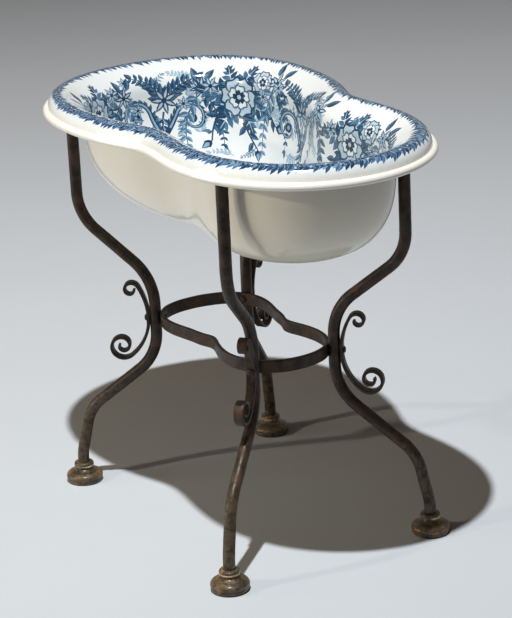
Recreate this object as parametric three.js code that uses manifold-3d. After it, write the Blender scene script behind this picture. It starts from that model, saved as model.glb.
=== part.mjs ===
// A violin-shaped earthenware basin hung by its rim on a wrought-iron stand.
// Millimetres, +Z up, floor at z = 0. The long axis lies along Y, with the broad end at +Y.

import * as THREE from 'three';
import { mergeVertices } from 'three/addons/utils/BufferGeometryUtils.js';
import Module from 'manifold-3d';

const wasm = await Module();
wasm.setup();

// Clearances
const gap = 0.3;                 // between pieces that touch or fit together
const holeClearance = 0.3;       // rivet shank to the side of its hole

// Heights
const waistHeight = 206;         // floor to the waist of the stand
const crestRise = 259;           // waist to the crest of the rim
const crestHeight = waistHeight + crestRise;

// Basin rim, measured along the crest line seen in plan
const rimLength = 511;
const rimWaist = 264;            // width across the middle
const rimFullness = 3.4;         // widens both the ends and the middle
const rimShoulder = -2.9;        // squares the four shoulders
const rimEgg = -14.9;            // makes the -Y end the longer, narrower one
const crestRadius = 14;          // roundness of the rim's top
const flangeFall = 38;           // degrees, slope from the crest in to the bowl
const skirtDepth = 18.5;         // crest down to the bead's centre
const beadRadius = 4;
const beadReach = 2.2;           // bead centre beyond the skirt's face
const beadTop = 115;             // degrees, where the bead's round meets the skirt
const wall = 7;                  // basin thickness

// Bowl
const wallInset = 28;            // crest line to the bowl's outer wall
const bowlTopDrop = 25;          // crest down to where the bowl's wall begins
const bowlDepth = 125.5;         // crest down to the underside at the middle
const bowlInset = 102;           // how far the ends lean in by the bottom
const bowlSquareness = 2.6;      // 2 is an ellipse, higher is fuller
const bottomRadiusX = 1000;      // roundness of the bottom across and along the bowl
const bottomRadiusY = 4000;
const bottomTilt = 0.05;         // the bottom rises toward +Y

// Iron stand
const legDiameter = 12.4;
const stripThickness = 4;
const seatWidth = 14;            // flat on the hoop and the ring where a leg is riveted
const hoopHeight = 18;
const broadTopAngle = 33;        // degrees off the Y axis where the legs meet the hoop
const narrowTopAngle = 35;
const footSpanX = 249;
const footSpanY = 350;

const ringHeight = 14;
const ringLength = 240;
const ringWaist = 100.5;
const ringFullness = 1.3;
const ringShoulder = -3.3;
const ringEgg = -4.8;
const ringCentreX = 3.8;         // the forged ring sits a little off the middle
const ringCentreY = 8.2;
const broadLegAngle = 29.5;      // degrees off the Y axis where the legs meet the ring
const narrowLegAngle = 22.3;

// Leg bends
const kneeDrop = 146;            // crest down to the upper knee
const upperBend = 46;            // above and below the waist
const lowerBend = 45;
const lowerKneeHeight = 91;
const lowerKneeShare = 0.87;     // part of the foot's reach gained by the knee
const ankleHeight = 35;
const waistBendRadius = 60;
const kneeBendRadius = 52;

// Scrolls
const scrollThickness = 3;
const scrollWidth = 9;
const scrollBackRadius = 60;
const topCurl = { start: 142, sweep: -322, outer: 9, inner: 3.8, steps: 12 };
const bottomCurl = { start: 234, sweep: 560, outer: 15.5, inner: 4, steps: 20 };

// Rivets
const shankRadius = 2.2;
const headRadius = 3.8;
const headHeight = 2.2;
const hoopRivetDrop = 4.8;       // the leg's top down to its rivet

// Feet
const footRadius = 20.8;
const footHeight = 24;
const discHeight = 4;
const domeTop = 17;
const collarBottom = 18.4;
const collarRadius = 10.4;
const neckRadius = 8.8;
const socketDepth = 12;

// Fineness of the faceted surfaces
const outlineColumns = 52;       // round each outline, alike for the basin and what it rests on
const sectionSteps = 3;
const bendSteps = 6;
const legSteps = 32;
const legSides = 10;
const holeSides = 12;
const rivetSides = 10;
const footSides = 16;

const legRadius = legDiameter / 2;
const radians = THREE.MathUtils.degToRad;

// Turns a mesh geometry into a solid that can be cut, and back.
function toSolid(geometry) {
  const bare = geometry.clone();
  bare.deleteAttribute('normal');
  bare.deleteAttribute('uv');
  const merged = mergeVertices(bare, 1e-4);
  return new wasm.Manifold(new wasm.Mesh({
    numProp: 3,
    vertProperties: new Float32Array(merged.attributes.position.array),
    triVerts: new Uint32Array(merged.index.array),
  }));
}

function toGeometry(solid) {
  const mesh = solid.getMesh();
  const geometry = new THREE.BufferGeometry();
  geometry.setAttribute('position', new THREE.BufferAttribute(mesh.vertProperties, 3));
  geometry.setIndex(new THREE.BufferAttribute(mesh.triVerts, 1));
  geometry.computeVertexNormals();
  return geometry;
}

// Skins a list of closed rings. The ends are joined to each other, or drawn in to two poles.
function skinRings(rings, poles) {
  const points = rings.flat();
  const count = rings[0].length;
  const index = [];
  const joins = poles ? rings.length - 1 : rings.length;
  for (let r = 0; r < joins; r++) {
    const next = (r + 1) % rings.length;
    for (let c = 0; c < count; c++) {
      const a = r * count + c;
      const b = r * count + (c + 1) % count;
      const d = next * count + c;
      const e = next * count + (c + 1) % count;
      index.push(a, b, e, a, e, d);
    }
  }
  if (poles) {
    const first = points.push(poles[0]) - 1;
    const last = points.push(poles[1]) - 1;
    const lastRow = (rings.length - 1) * count;
    for (let c = 0; c < count; c++) {
      index.push(first, (c + 1) % count, c);
      index.push(last, lastRow + c, lastRow + (c + 1) % count);
    }
  }
  const geometry = new THREE.BufferGeometry().setFromPoints(points);
  geometry.setIndex(index);
  return geometry;
}

// A violin outline in plan. Angle 0 points along +Y and turns toward +X.
class ViolinOutline {
  constructor({ length, waist, fullness, shoulder, egg, centreX = 0, centreY = 0 }) {
    this.mean = (length + waist) / 4 - fullness;
    this.stretch = (length - waist) / 4 - shoulder;
    Object.assign(this, { fullness, shoulder, egg, centreX, centreY });
  }

  radius(angle) {
    return this.mean + this.stretch * Math.cos(2 * angle) + this.fullness * Math.cos(4 * angle)
      + this.shoulder * Math.cos(6 * angle) + this.egg * Math.cos(3 * angle);
  }

  radiusSlope(angle) {
    return -2 * this.stretch * Math.sin(2 * angle) - 4 * this.fullness * Math.sin(4 * angle)
      - 6 * this.shoulder * Math.sin(6 * angle) - 3 * this.egg * Math.sin(3 * angle);
  }

  // Outward normal, square to the outline
  normal(angle) {
    const r = this.radius(angle);
    const slope = this.radiusSlope(angle);
    const tangentX = slope * Math.sin(angle) + r * Math.cos(angle);
    const tangentY = slope * Math.cos(angle) - r * Math.sin(angle);
    return new THREE.Vector3(-tangentY, tangentX, 0).normalize();
  }

  // Point at a distance outside the outline (negative is inside) and at height z
  point(angle, offset, z) {
    const r = this.radius(angle);
    const x = this.centreX + r * Math.sin(angle);
    const y = this.centreY + r * Math.cos(angle);
    return new THREE.Vector3(x, y, z).addScaledVector(this.normal(angle), offset);
  }

  // The flat that a leg is riveted to: its middle, and the way it faces
  seat(angle, offset, z) {
    const [from, to] = this.seatEdges(angle).map((edge) => this.point(edge, offset, z));
    const along = to.clone().sub(from).normalize();
    return { middle: from.add(to).divideScalar(2), out: new THREE.Vector3(-along.y, along.x, 0) };
  }

  seatEdges(angle) {
    const half = seatWidth / 2 / this.radius(angle);
    return [angle - half, angle + half];
  }

  // Even steps round the outline, with both edges of each seat in place of the steps near it
  columns(seatAngles) {
    const step = 2 * Math.PI / outlineColumns;
    const even = Array.from({ length: outlineColumns }, (_, i) => i * step);
    const awayFromSeats = even.filter((a) => seatAngles.every((seat) => {
      const [from, to] = this.seatEdges(seat);
      return a < from - step / 3 || a > to + step / 3;
    }));
    const edges = seatAngles.flatMap((seat) => this.seatEdges(seat));
    return [...awayFromSeats, ...edges].sort((a, b) => a - b);
  }
}

const rim = new ViolinOutline({
  length: rimLength, waist: rimWaist, fullness: rimFullness, shoulder: rimShoulder, egg: rimEgg,
});
const ring = new ViolinOutline({
  length: ringLength, waist: ringWaist, fullness: ringFullness, shoulder: ringShoulder, egg: ringEgg,
  centreX: ringCentreX, centreY: ringCentreY,
});

// The four legs, by the side of the stand that each is on, and where each one is round the outlines
const legPlaces = [
  { name: 'left', sideX: -1, sideY: 1 },
  { name: 'front', sideX: -1, sideY: -1 },
  { name: 'right', sideX: 1, sideY: -1 },
  { name: 'back', sideX: 1, sideY: 1 },
];

function roundFromBroadEnd(leg, angleOff) {
  const turn = radians(leg.sideY > 0 ? angleOff : 180 - angleOff);
  return leg.sideX > 0 ? turn : 2 * Math.PI - turn;
}

const hoopAngle = (leg) => roundFromBroadEnd(leg, leg.sideY > 0 ? broadTopAngle : narrowTopAngle);
const ringAngle = (leg) => roundFromBroadEnd(leg, leg.sideY > 0 ? broadLegAngle : narrowLegAngle);

// The rim's crest sits inside the crest line by this much, because that line is where
// the rounded top turns down.
const crestInset = crestRadius / 3;
const underRadius = crestRadius - wall;
const bowlTop = crestHeight - bowlTopDrop - wall;
const crestCentre = crestHeight - crestRadius;
const fall = radians(90 + flangeFall);

// Height of the flange's slope at x outside the crest line, above (crestRadius) or below (underRadius)
function slopeHeight(radius, x) {
  const along = x + crestInset - radius * Math.cos(fall);
  return crestCentre + radius * Math.sin(fall) + along * Math.tan(radians(flangeFall));
}

// Section of flange, skirt and bead: x is the distance outside the crest line, y the height.
// It runs from the bowl's outer wall, round the underside and the bead, over the top to the inner wall.
function rimSection() {
  const outerWall = -wallInset;
  const innerWall = -wallInset - wall;
  const underside = underRadius - crestInset;
  const skirt = crestRadius - crestInset;
  const beadY = crestHeight - skirtDepth;
  const beadBottom = beadY - beadRadius;
  const outerSlope = (x) => slopeHeight(underRadius, x);
  const innerSlope = (x) => slopeHeight(crestRadius, x);
  const path = new THREE.Path();
  path.moveTo(outerWall, bowlTop);
  path.quadraticCurveTo(outerWall, outerSlope(outerWall), outerWall + wall, outerSlope(outerWall + wall));
  path.absarc(-crestInset, crestCentre, underRadius, fall, 0, true);
  path.lineTo(underside, beadY);
  path.quadraticCurveTo(underside, beadBottom, skirt - beadRadius, beadBottom);
  path.absarc(skirt + beadReach, beadY, beadRadius, radians(-90), radians(beadTop), false);
  path.absarc(-crestInset, crestCentre, crestRadius, 0, fall, false);
  path.lineTo(innerWall + wall, innerSlope(innerWall + wall));
  path.quadraticCurveTo(innerWall, innerSlope(innerWall), innerWall, bowlTop);
  return path.getPoints(sectionSteps);
}

// One closed level of the bowl. lean runs from 0 at the wall's top to 90 degrees at the bottom's edge.
// The wall leans in less where the outline is slimmer.
function bowlLevel(angle, lean, inset) {
  const power = 2 / bowlSquareness;
  const top = rim.point(angle, -wallInset - inset, 0);
  const slimness = Math.sqrt(2 * top.length() / rimLength);
  const drawnIn = bowlInset * slimness * (1 - Math.cos(lean) ** power);
  const point = top.clone().multiplyScalar(1 - drawnIn / top.length());
  point.z = THREE.MathUtils.lerp(bowlTop, bottomHeight(point, inset), Math.sin(lean) ** power);
  return point;
}

function bottomHeight({ x, y }, inset) {
  const crown = x * x / (2 * bottomRadiusX) + y * y / (2 * bottomRadiusY);
  return crestHeight - bowlDepth + crown + bottomTilt * y + inset;
}

function bottomLevel(angle, share, inset) {
  const point = bowlLevel(angle, Math.PI / 2, inset).multiplyScalar(share);
  point.z = bottomHeight(point, inset);
  return point;
}

function basinGeometry() {
  const angles = rim.columns(legPlaces.map(hoopAngle));
  const level = (place) => angles.map(place);
  const leans = [90, 74, 58, 44, 30, 15].map(radians);
  const shares = [0.35, 0.7];
  const section = rimSection();
  const rings = [
    ...shares.map((share) => level((a) => bottomLevel(a, share, 0))),
    ...leans.map((lean) => level((a) => bowlLevel(a, lean, 0))),
    ...section.map((p) => level((a) => rim.point(a, p.x, p.y))),
    ...leans.toReversed().map((lean) => level((a) => bowlLevel(a, lean, wall))),
    ...shares.toReversed().map((share) => level((a) => bottomLevel(a, share, wall))),
  ];
  const poles = [0, wall].map((inset) => bottomLevel(0, 0, inset));
  return skinRings(rings.map((r) => r.toReversed()), poles);
}

// A flat strip on edge that follows an outline all the way round
function stripRing(outline, seatAngles, offset, bottom, height) {
  const half = stripThickness / 2;
  const rings = outline.columns(seatAngles).map((angle) => [
    outline.point(angle, offset - half, bottom),
    outline.point(angle, offset + half, bottom),
    outline.point(angle, offset + half, bottom + height),
    outline.point(angle, offset - half, bottom + height),
  ]);
  return skinRings(rings, null);
}

// The hoop stands under the rim's crest, just clear of the rounded underside.
const hoopOffset = -crestInset;
const hoopRise = Math.sqrt(underRadius ** 2 - (stripThickness / 2) ** 2);
const hoopTop = crestCentre + hoopRise - gap;
const hoopBottom = hoopTop - hoopHeight;
const legInside = hoopOffset - stripThickness / 2 - gap - legDiameter;
const legTopHeight = slopeHeight(underRadius, legInside) - 2 * gap;

// Where each leg meets the ring, the hoop and the floor. out is the way its waist rivet points.
function layOutLeg(leg) {
  const half = stripThickness / 2;
  const onRing = ring.seat(ringAngle(leg), half, waistHeight);
  const onHoop = rim.seat(hoopAngle(leg), hoopOffset - half, legTopHeight);
  const waist = onRing.middle.addScaledVector(onRing.out, gap + legRadius);
  const top = onHoop.middle.addScaledVector(onHoop.out, -gap - legRadius);
  const foot = new THREE.Vector3(leg.sideX * footSpanX / 2, leg.sideY * footSpanY / 2, 0);
  return { name: leg.name, out: onRing.out, hoopOut: onHoop.out, waist, top, foot };
}

const legs = legPlaces.map(layOutLeg);

// Points along a bent bar: straight runs between corners, with a round bend at each inner corner.
function bentRun(corners) {
  const points = [corners[0].at.clone()];
  for (let i = 1; i < corners.length - 1; i++) {
    const corner = corners[i].at;
    const back = corners[i - 1].at.clone().sub(corner);
    const ahead = corners[i + 1].at.clone().sub(corner);
    const half = back.angleTo(ahead) / 2;
    const reach = corners[i].radius / Math.tan(half);
    const from = corner.clone().addScaledVector(back.normalize(), reach);
    const to = corner.clone().addScaledVector(ahead.normalize(), reach);
    const middle = back.clone().add(ahead).normalize();
    const centre = corner.clone().addScaledVector(middle, corners[i].radius / Math.sin(half));
    const start = from.clone().sub(centre);
    const end = to.clone().sub(centre);
    const turn = start.angleTo(end);
    for (let s = 0; s <= bendSteps; s++) {
      const t = s / bendSteps;
      const blend = start.clone().multiplyScalar(Math.sin((1 - t) * turn) / Math.sin(turn))
        .addScaledVector(end, Math.sin(t * turn) / Math.sin(turn));
      points.push(centre.clone().add(blend));
    }
  }
  points.push(corners[corners.length - 1].at.clone());
  return points;
}

// The legs' bends in three dimensions, from the hoop down to the socket in the foot
function legPath({ waist, top, foot }) {
  const reach = (target, share, height) => new THREE.Vector3(
    THREE.MathUtils.lerp(waist.x, target.x, share),
    THREE.MathUtils.lerp(waist.y, target.y, share),
    height,
  );
  return bentRun([
    { at: top },
    { at: reach(top, 1, crestHeight - kneeDrop), radius: kneeBendRadius },
    { at: reach(top, 0, waistHeight + upperBend), radius: waistBendRadius },
    { at: reach(foot, 0, waistHeight - lowerBend), radius: waistBendRadius },
    { at: reach(foot, lowerKneeShare, lowerKneeHeight), radius: kneeBendRadius },
    { at: reach(foot, 1, ankleHeight), radius: waistBendRadius },
    { at: reach(foot, 1, footHeight - socketDepth + gap) },
  ]);
}

// Follows a list of points exactly, as a polyline measured by length
class BarPath extends THREE.CurvePath {
  constructor(points) {
    super();
    for (let i = 1; i < points.length; i++) {
      this.add(new THREE.LineCurve3(points[i - 1], points[i]));
    }
  }
}

function legGeometry(points) {
  const section = new THREE.Shape();
  section.absarc(0, 0, legRadius, 0, 2 * Math.PI, false);
  const spaced = new BarPath(points).getSpacedPoints(legSteps);
  const extrudePath = new THREE.CatmullRomCurve3(spaced, false, 'centripetal');
  return new THREE.ExtrudeGeometry(section, { extrudePath, steps: legSteps, curveSegments: legSides / 2 });
}

// Shank with a domed head at each end, centred on the origin along Y
function rivetGeometry(grip) {
  const half = grip / 2 + gap;
  const head = [90, 60, 30, 0].map((angle) => new THREE.Vector2(
    headRadius * Math.cos(radians(angle)),
    half + headHeight * Math.sin(radians(angle)),
  ));
  const upperHalf = [...head, new THREE.Vector2(shankRadius, half)];
  const lowerHalf = upperHalf.map((p) => new THREE.Vector2(p.x, -p.y));
  return new THREE.LatheGeometry([...lowerHalf, ...upperHalf.toReversed()], rivetSides);
}

// A hole along a direction, for a rivet's shank
function rivetHole(centre, direction, length) {
  const radius = shankRadius + holeClearance;
  const bore = new THREE.CylinderGeometry(radius, radius, length, holeSides);
  bore.applyQuaternion(new THREE.Quaternion().setFromUnitVectors(new THREE.Vector3(0, 1, 0), direction));
  bore.translate(centre.x, centre.y, centre.z);
  return toSolid(bore);
}

function cutHoles(geometry, holes) {
  return toGeometry(holes.reduce((solid, hole) => solid.subtract(hole), toSolid(geometry)));
}

// Points along a spiral whose radius changes evenly, in the plane of u (x) and height (y)
function spiral(centre, { start, sweep, outer, inner, steps }) {
  return Array.from({ length: steps + 1 }, (_, i) => {
    const t = i / steps;
    const angle = radians(start + sweep * t);
    const radius = THREE.MathUtils.lerp(outer, inner, t);
    return new THREE.Vector2(radius * Math.cos(angle), radius * Math.sin(angle)).add(centre);
  });
}

// The scroll's middle line: small curl at the top, a round back with a flat for the rivet,
// large curl below
function scrollLine() {
  const flat = THREE.MathUtils.radToDeg(Math.asin(seatWidth / 2 / scrollBackRadius));
  const backX = legRadius + gap + scrollThickness / 2 + scrollBackRadius * Math.cos(radians(flat));
  const onBack = (angle, radius) => new THREE.Vector2(
    backX + radius * Math.cos(radians(angle)), radius * Math.sin(radians(angle)),
  );
  const backRun = (from, to, steps) => steps.map((step) => onBack(
    THREE.MathUtils.lerp(from, to, step), scrollBackRadius,
  ));
  const topCentre = onBack(topCurl.start, scrollBackRadius - topCurl.outer);
  const bottomCentre = onBack(bottomCurl.start, scrollBackRadius - bottomCurl.outer);
  return [
    ...spiral(topCentre, topCurl).toReversed(),
    ...backRun(topCurl.start, 180 - flat, [0.33, 0.67, 1]),
    ...backRun(180 + flat, bottomCurl.start, [0, 0.25, 0.5, 0.75]),
    ...spiral(bottomCentre, bottomCurl),
  ];
}

// The strip is swept in the plane x = distance out from the leg, z = height above the rivet.
function scrollGeometry() {
  const line = scrollLine().map((p) => new THREE.Vector3(p.x, 0, p.y));
  const tangents = line.map((_, i) => {
    const before = line[Math.max(i - 1, 0)];
    const after = line[Math.min(i + 1, line.length - 1)];
    return after.clone().sub(before).normalize();
  });
  const half = scrollThickness / 2;
  const side = scrollWidth / 2;
  const rings = line.map((p, i) => {
    const across = new THREE.Vector3(-tangents[i].z, 0, tangents[i].x);
    const corner = (a, b) => p.clone().addScaledVector(across, a).add(new THREE.Vector3(0, b, 0));
    return [corner(-half, -side), corner(half, -side), corner(half, side), corner(-half, side)];
  });
  return skinRings(rings.map((r) => r.toReversed()), [line[0], line[line.length - 1]]);
}

function footGeometry() {
  const socketRadius = legRadius + gap;
  const lip = discHeight / 2;
  const collarMiddle = (collarBottom + footHeight) / 2;
  const path = new THREE.Path();
  path.moveTo(0, 0);
  path.lineTo(footRadius - lip, 0);
  path.quadraticCurveTo(footRadius + lip / 2, lip, footRadius - lip / 2, discHeight);
  path.bezierCurveTo(footRadius + lip, domeTop / 2, neckRadius + lip, domeTop - lip, neckRadius, domeTop);
  path.lineTo(neckRadius, collarBottom);
  path.quadraticCurveTo(2 * collarRadius - neckRadius, collarMiddle, neckRadius, footHeight);
  path.lineTo(socketRadius, footHeight);
  path.lineTo(socketRadius, footHeight - socketDepth);
  path.lineTo(0, footHeight - socketDepth);
  const foot = new THREE.LatheGeometry(path.getPoints(sectionSteps + 1), footSides);
  foot.rotateX(Math.PI / 2);
  return foot;
}

const ironColour = { color: 0x2b231e, roughness: 0.55, metalness: 0.6 };
const finishes = {
  basin: { color: 0xe9e6da, roughness: 0.18, metalness: 0 },
  iron: ironColour,
  strip: { ...ironColour, color: 0x3a2d24 },
  foot: { color: 0x4b3f2f, roughness: 0.6, metalness: 0.5 },
};

const bidet = new THREE.Group();

function addPiece(name, geometry, finish) {
  const mesh = new THREE.Mesh(geometry, new THREE.MeshStandardMaterial(finishes[finish]));
  mesh.name = name;
  bidet.add(mesh);
  return mesh;
}

// Turns a piece modelled along +X so that it points out from its leg.
function faceOut(mesh, place, out) {
  mesh.position.copy(place);
  mesh.rotation.z = Math.atan2(out.y, out.x);
}

addPiece('basin', basinGeometry(), 'basin');

const waistGrip = scrollThickness + gap + legDiameter + gap + stripThickness;
const hoopGrip = legDiameter + gap + stripThickness;
const waistRivetAt = (leg) => leg.waist.clone()
  .addScaledVector(leg.out, (scrollThickness - stripThickness) / 2);
const hoopRivetAt = (leg) => new THREE.Vector3(leg.top.x, leg.top.y, legTopHeight - hoopRivetDrop)
  .addScaledVector(leg.hoopOut, (stripThickness + gap) / 2);

const through = waistGrip + legDiameter;
const waistHoles = legs.map((leg) => rivetHole(waistRivetAt(leg), leg.out, through));
const hoopHoles = legs.map((leg) => rivetHole(hoopRivetAt(leg), leg.hoopOut, through));

const ringBottom = waistHeight - ringHeight / 2;
const hoop = stripRing(rim, legPlaces.map(hoopAngle), hoopOffset, hoopBottom, hoopHeight);
const waistRing = stripRing(ring, legPlaces.map(ringAngle), 0, ringBottom, ringHeight);
addPiece('top_hoop', cutHoles(hoop, hoopHoles), 'strip');
addPiece('waist_ring', cutHoles(waistRing, waistHoles), 'strip');

legs.forEach((leg, i) => {
  const bar = cutHoles(legGeometry(legPath(leg)), [waistHoles[i], hoopHoles[i]]);
  addPiece(`leg_${leg.name}`, bar, 'iron');

  const scrollHole = rivetHole(new THREE.Vector3(legRadius, 0, 0), new THREE.Vector3(1, 0, 0), legDiameter);
  const scroll = cutHoles(scrollGeometry(), [scrollHole]);
  faceOut(addPiece(`scroll_${leg.name}`, scroll, 'strip'), leg.waist, leg.out);

  const waistRivet = rivetGeometry(waistGrip).rotateZ(-Math.PI / 2);
  faceOut(addPiece(`waist_rivet_${leg.name}`, waistRivet, 'iron'), waistRivetAt(leg), leg.out);

  const hoopRivet = rivetGeometry(hoopGrip).rotateZ(-Math.PI / 2);
  faceOut(addPiece(`hoop_rivet_${leg.name}`, hoopRivet, 'iron'), hoopRivetAt(leg), leg.hoopOut);

  addPiece(`foot_${leg.name}`, footGeometry(), 'foot').position.copy(leg.foot);
});

// The origin lies on the floor under the middle of the rim's outline.
const reachAt = (angle) => rim.point(angle, crestRadius - crestInset + beadReach + beadRadius, 0).y;
bidet.position.y = -(reachAt(0) + reachAt(Math.PI)) / 2;

export default bidet;
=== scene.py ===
"""Looks of a violin-shaped earthenware bidet on a wrought-iron stand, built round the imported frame.

Sizes are in millimetres, as in the part's source, and meshes are written in metres.
+Z is up, the floor is at z = 0, and the broad end of the basin points along +Y.
"""

import logging
import math
import random
from collections.abc import Callable, Iterable, Sequence
from dataclasses import dataclass, field
from enum import Enum

import bpy
import numpy as np
from bpy.types import Material, Mesh, Node, NodeSocket, NodeTree, Object
from mathutils import Matrix, Vector
from mathutils.bvhtree import BVHTree
from mathutils.geometry import delaunay_2d_cdt


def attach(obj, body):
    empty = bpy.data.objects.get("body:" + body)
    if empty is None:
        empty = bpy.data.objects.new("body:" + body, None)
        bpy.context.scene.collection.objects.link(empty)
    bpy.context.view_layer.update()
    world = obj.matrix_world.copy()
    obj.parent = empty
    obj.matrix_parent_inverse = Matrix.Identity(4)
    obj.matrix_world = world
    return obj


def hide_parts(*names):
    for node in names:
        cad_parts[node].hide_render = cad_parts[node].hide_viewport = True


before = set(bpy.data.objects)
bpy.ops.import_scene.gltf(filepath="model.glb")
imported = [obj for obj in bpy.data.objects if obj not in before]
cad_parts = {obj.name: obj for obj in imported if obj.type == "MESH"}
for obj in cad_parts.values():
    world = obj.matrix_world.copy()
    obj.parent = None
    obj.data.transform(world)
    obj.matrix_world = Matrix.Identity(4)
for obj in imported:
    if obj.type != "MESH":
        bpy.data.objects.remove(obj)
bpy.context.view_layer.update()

log = logging.getLogger("bidet")

MM = 0.001
PHOTO_WIDTH = 512
PHOTO_HEIGHT = 618
TAU = 2 * math.pi

Point = tuple[float, float]
Colour = tuple[float, float, float]
Socket = NodeSocket
Sockets = bpy.types.bpy_prop_collection
Feed = Socket | Node | float | tuple


class Slot(Enum):
    """Material slots of the record."""

    EARTHENWARE = "glazed_earthenware"
    WROUGHT = "wrought_iron"
    CAST = "foot_iron"


class Corner(Enum):
    """The four legs, by the side of the stand that each is on."""

    LEFT = (-1, 1)
    FRONT = (-1, -1)
    RIGHT = (1, -1)
    BACK = (1, 1)

    @property
    def label(self) -> str:
        """The corner's name as the frame's nodes write it."""
        return self.name.lower()


class Ink(Enum):
    """Strengths of the blue print, from bare glaze to full ink."""

    BARE = 0.0
    MIST = 0.2
    PALE = 0.36
    MIDDLE = 0.64
    DARK = 0.88
    FULL = 1.0


# Node trees

class NodeSheet:
    """A node tree that is being drawn, with calls that add a node and wire it at once."""

    def __init__(self, tree: NodeTree) -> None:
        """Keeps the tree that nodes are added to."""
        self.tree = tree

    def add(self, kind: str, feeds: dict[int | str, Feed] | None = None, **settings: object) -> Node:
        """Adds one node.

        Args:
            kind: Blender's name for the node's type.
            feeds: input socket, by name or number, to a plain value, a node or an output socket.
            **settings: the node's own properties.

        Returns:
            The new node.
        """
        node = self.tree.nodes.new(kind)
        for name, value in settings.items():
            setattr(node, name, value)
        for socket, value in (feeds or {}).items():
            self.feed(node.inputs[socket], value)
        return node

    def feed(self, socket: Socket, value: Feed) -> None:
        """Wires an input socket, or sets its value.

        Args:
            socket: the input socket.
            value: a plain value, a node whose first output is used, or an output socket.
        """
        if isinstance(value, Node):
            value = value.outputs[0]
        if isinstance(value, NodeSocket):
            self.tree.links.new(value, socket)
        else:
            socket.default_value = value

    def math(self, operation: str, first: Feed, second: Feed = 0.0) -> Socket:
        """Result of a sum or a comparison of two numbers."""
        return self.add("ShaderNodeMath", {0: first, 1: second}, operation=operation).outputs[0]

    def times(self, first: Feed, second: Feed) -> Socket:
        """Product of two numbers."""
        return self.math("MULTIPLY", first, second)

    def minus(self, first: Feed, second: Feed) -> Socket:
        """First number less the second."""
        return self.math("SUBTRACT", first, second)

    def mix(self, share: Feed, first: Feed, second: Feed) -> Socket:
        """Colour between two colours, by a share from 0 to 1."""
        return self.add("ShaderNodeMix", {0: share, 6: first, 7: second}, data_type="RGBA").outputs[2]

    def laid_over(self, body: Socket, colour: Colour, mask: Feed, strength: Feed = 1.0) -> Socket:
        """Colour seen where one colour lies over another, through a mask and with a strength."""
        return self.mix(self.times(mask, strength), body, rgba(colour))

    def scaled(self, vector: Feed, size: Feed) -> Socket:
        """A vector or a colour times a number."""
        return self.add("ShaderNodeVectorMath", {0: vector, "Scale": size}, operation="SCALE").outputs[0]

    def axis(self, vector: Feed, number: int) -> Socket:
        """One of a vector's three numbers."""
        return self.add("ShaderNodeSeparateXYZ", {0: vector}).outputs[number]

    def step(self, value: Feed, low: Feed, high: Feed, start: Feed = 0.0, end: Feed = 1.0,
             course: str = "SMOOTHSTEP") -> Socket:
        """Step of a value from one number to another.

        Args:
            value: the value.
            low: where the step begins.
            high: where it ends.
            start: result up to low.
            end: result from high.
            course: SMOOTHSTEP or LINEAR.

        Returns:
            The result.
        """
        ranges = {"Value": value, "From Min": low, "From Max": high, "To Min": start, "To Max": end}
        return self.add("ShaderNodeMapRange", ranges, interpolation_type=course).outputs[0]

    def noise(self, vector: Feed, scale: Feed, detail: float = 3.0, roughness: float = 0.5) -> Socket:
        """Soft noise from 0 to 1 at a place."""
        feeds = {"Vector": vector, "Scale": scale, "Detail": detail, "Roughness": roughness}
        return self.add("ShaderNodeTexNoise", feeds).outputs[0]

    def ramp(self, value: Feed, stops: Sequence[tuple[float, Colour]]) -> Socket:
        """Colour read from a row of stops.

        Args:
            value: the place on the ramp.
            stops: place and colour of each stop, in order.

        Returns:
            The ramp's colour.
        """
        node = self.add("ShaderNodeValToRGB", {0: value})
        elements = node.color_ramp.elements
        while len(elements) < len(stops):
            elements.new(1.0)
        for element, (place, colour) in zip(elements, stops):
            element.position = place
            element.color = rgba(colour)
        return node.outputs[0]

    def object_place(self) -> Socket:
        """Place on the piece, in metres."""
        return self.add("ShaderNodeTexCoord").outputs["Object"]

    def attribute(self, name: str, output: str = "Fac") -> Socket:
        """Reads one of the mesh's own attributes."""
        return self.add("ShaderNodeAttribute", attribute_name=name).outputs[output]

    def group(self, tree: NodeTree, feeds: dict[str, Feed]) -> Sockets:
        """Outputs of a shader node group, placed with its own values.

        Args:
            tree: the group.
            feeds: what each of its inputs gets.

        Returns:
            Its outputs.
        """
        node = self.tree.nodes.new("ShaderNodeGroup")
        node.node_tree = tree
        for socket, value in feeds.items():
            self.feed(node.inputs[socket], value)
        return node.outputs


def rgba(colour: Sequence[float]) -> tuple[float, ...]:
    """A colour with its alpha."""
    return (*colour, 1.0)


def new_group(name: str, inputs: dict[str, float | None],
              outputs: Iterable[str]) -> tuple[NodeTree, NodeSheet, Sockets, Sockets]:
    """Starts a shader node group.

    Args:
        name: the group's name.
        inputs: input name to its first value, or to None for a place.
        outputs: names of the outputs, all of them numbers.

    Returns:
        The tree, a sheet to draw on it, what it is given and what it makes.
    """
    tree = bpy.data.node_groups.new(name, "ShaderNodeTree")
    for label, first in inputs.items():
        kind = "NodeSocketVector" if first is None else "NodeSocketFloat"
        socket = tree.interface.new_socket(label, in_out="INPUT", socket_type=kind)
        if first is not None:
            socket.default_value = first
    for label in outputs:
        tree.interface.new_socket(label, in_out="OUTPUT", socket_type="NodeSocketFloat")
    sheet = NodeSheet(tree)
    return tree, sheet, sheet.add("NodeGroupInput").outputs, sheet.add("NodeGroupOutput").inputs


@dataclass(frozen=True)
class Patches:
    """Ragged patches of one colour.

    The finer the scale the smaller they are. Cover is the part of the surface that they take up,
    raggedness the softness of their edges, and strength how well they hide what is beneath.
    """

    scale: float
    cover: float
    raggedness: float
    strength: float = 1.0


@dataclass(frozen=True)
class Dots:
    """Scattered dots of one colour.

    Crowding is the number of cells to a metre, radius a dot's size in its cell, cover the part of
    the cells that have one, and strength how well they hide what is beneath.
    """

    crowding: float
    radius: float
    cover: float
    strength: float = 1.0


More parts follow.
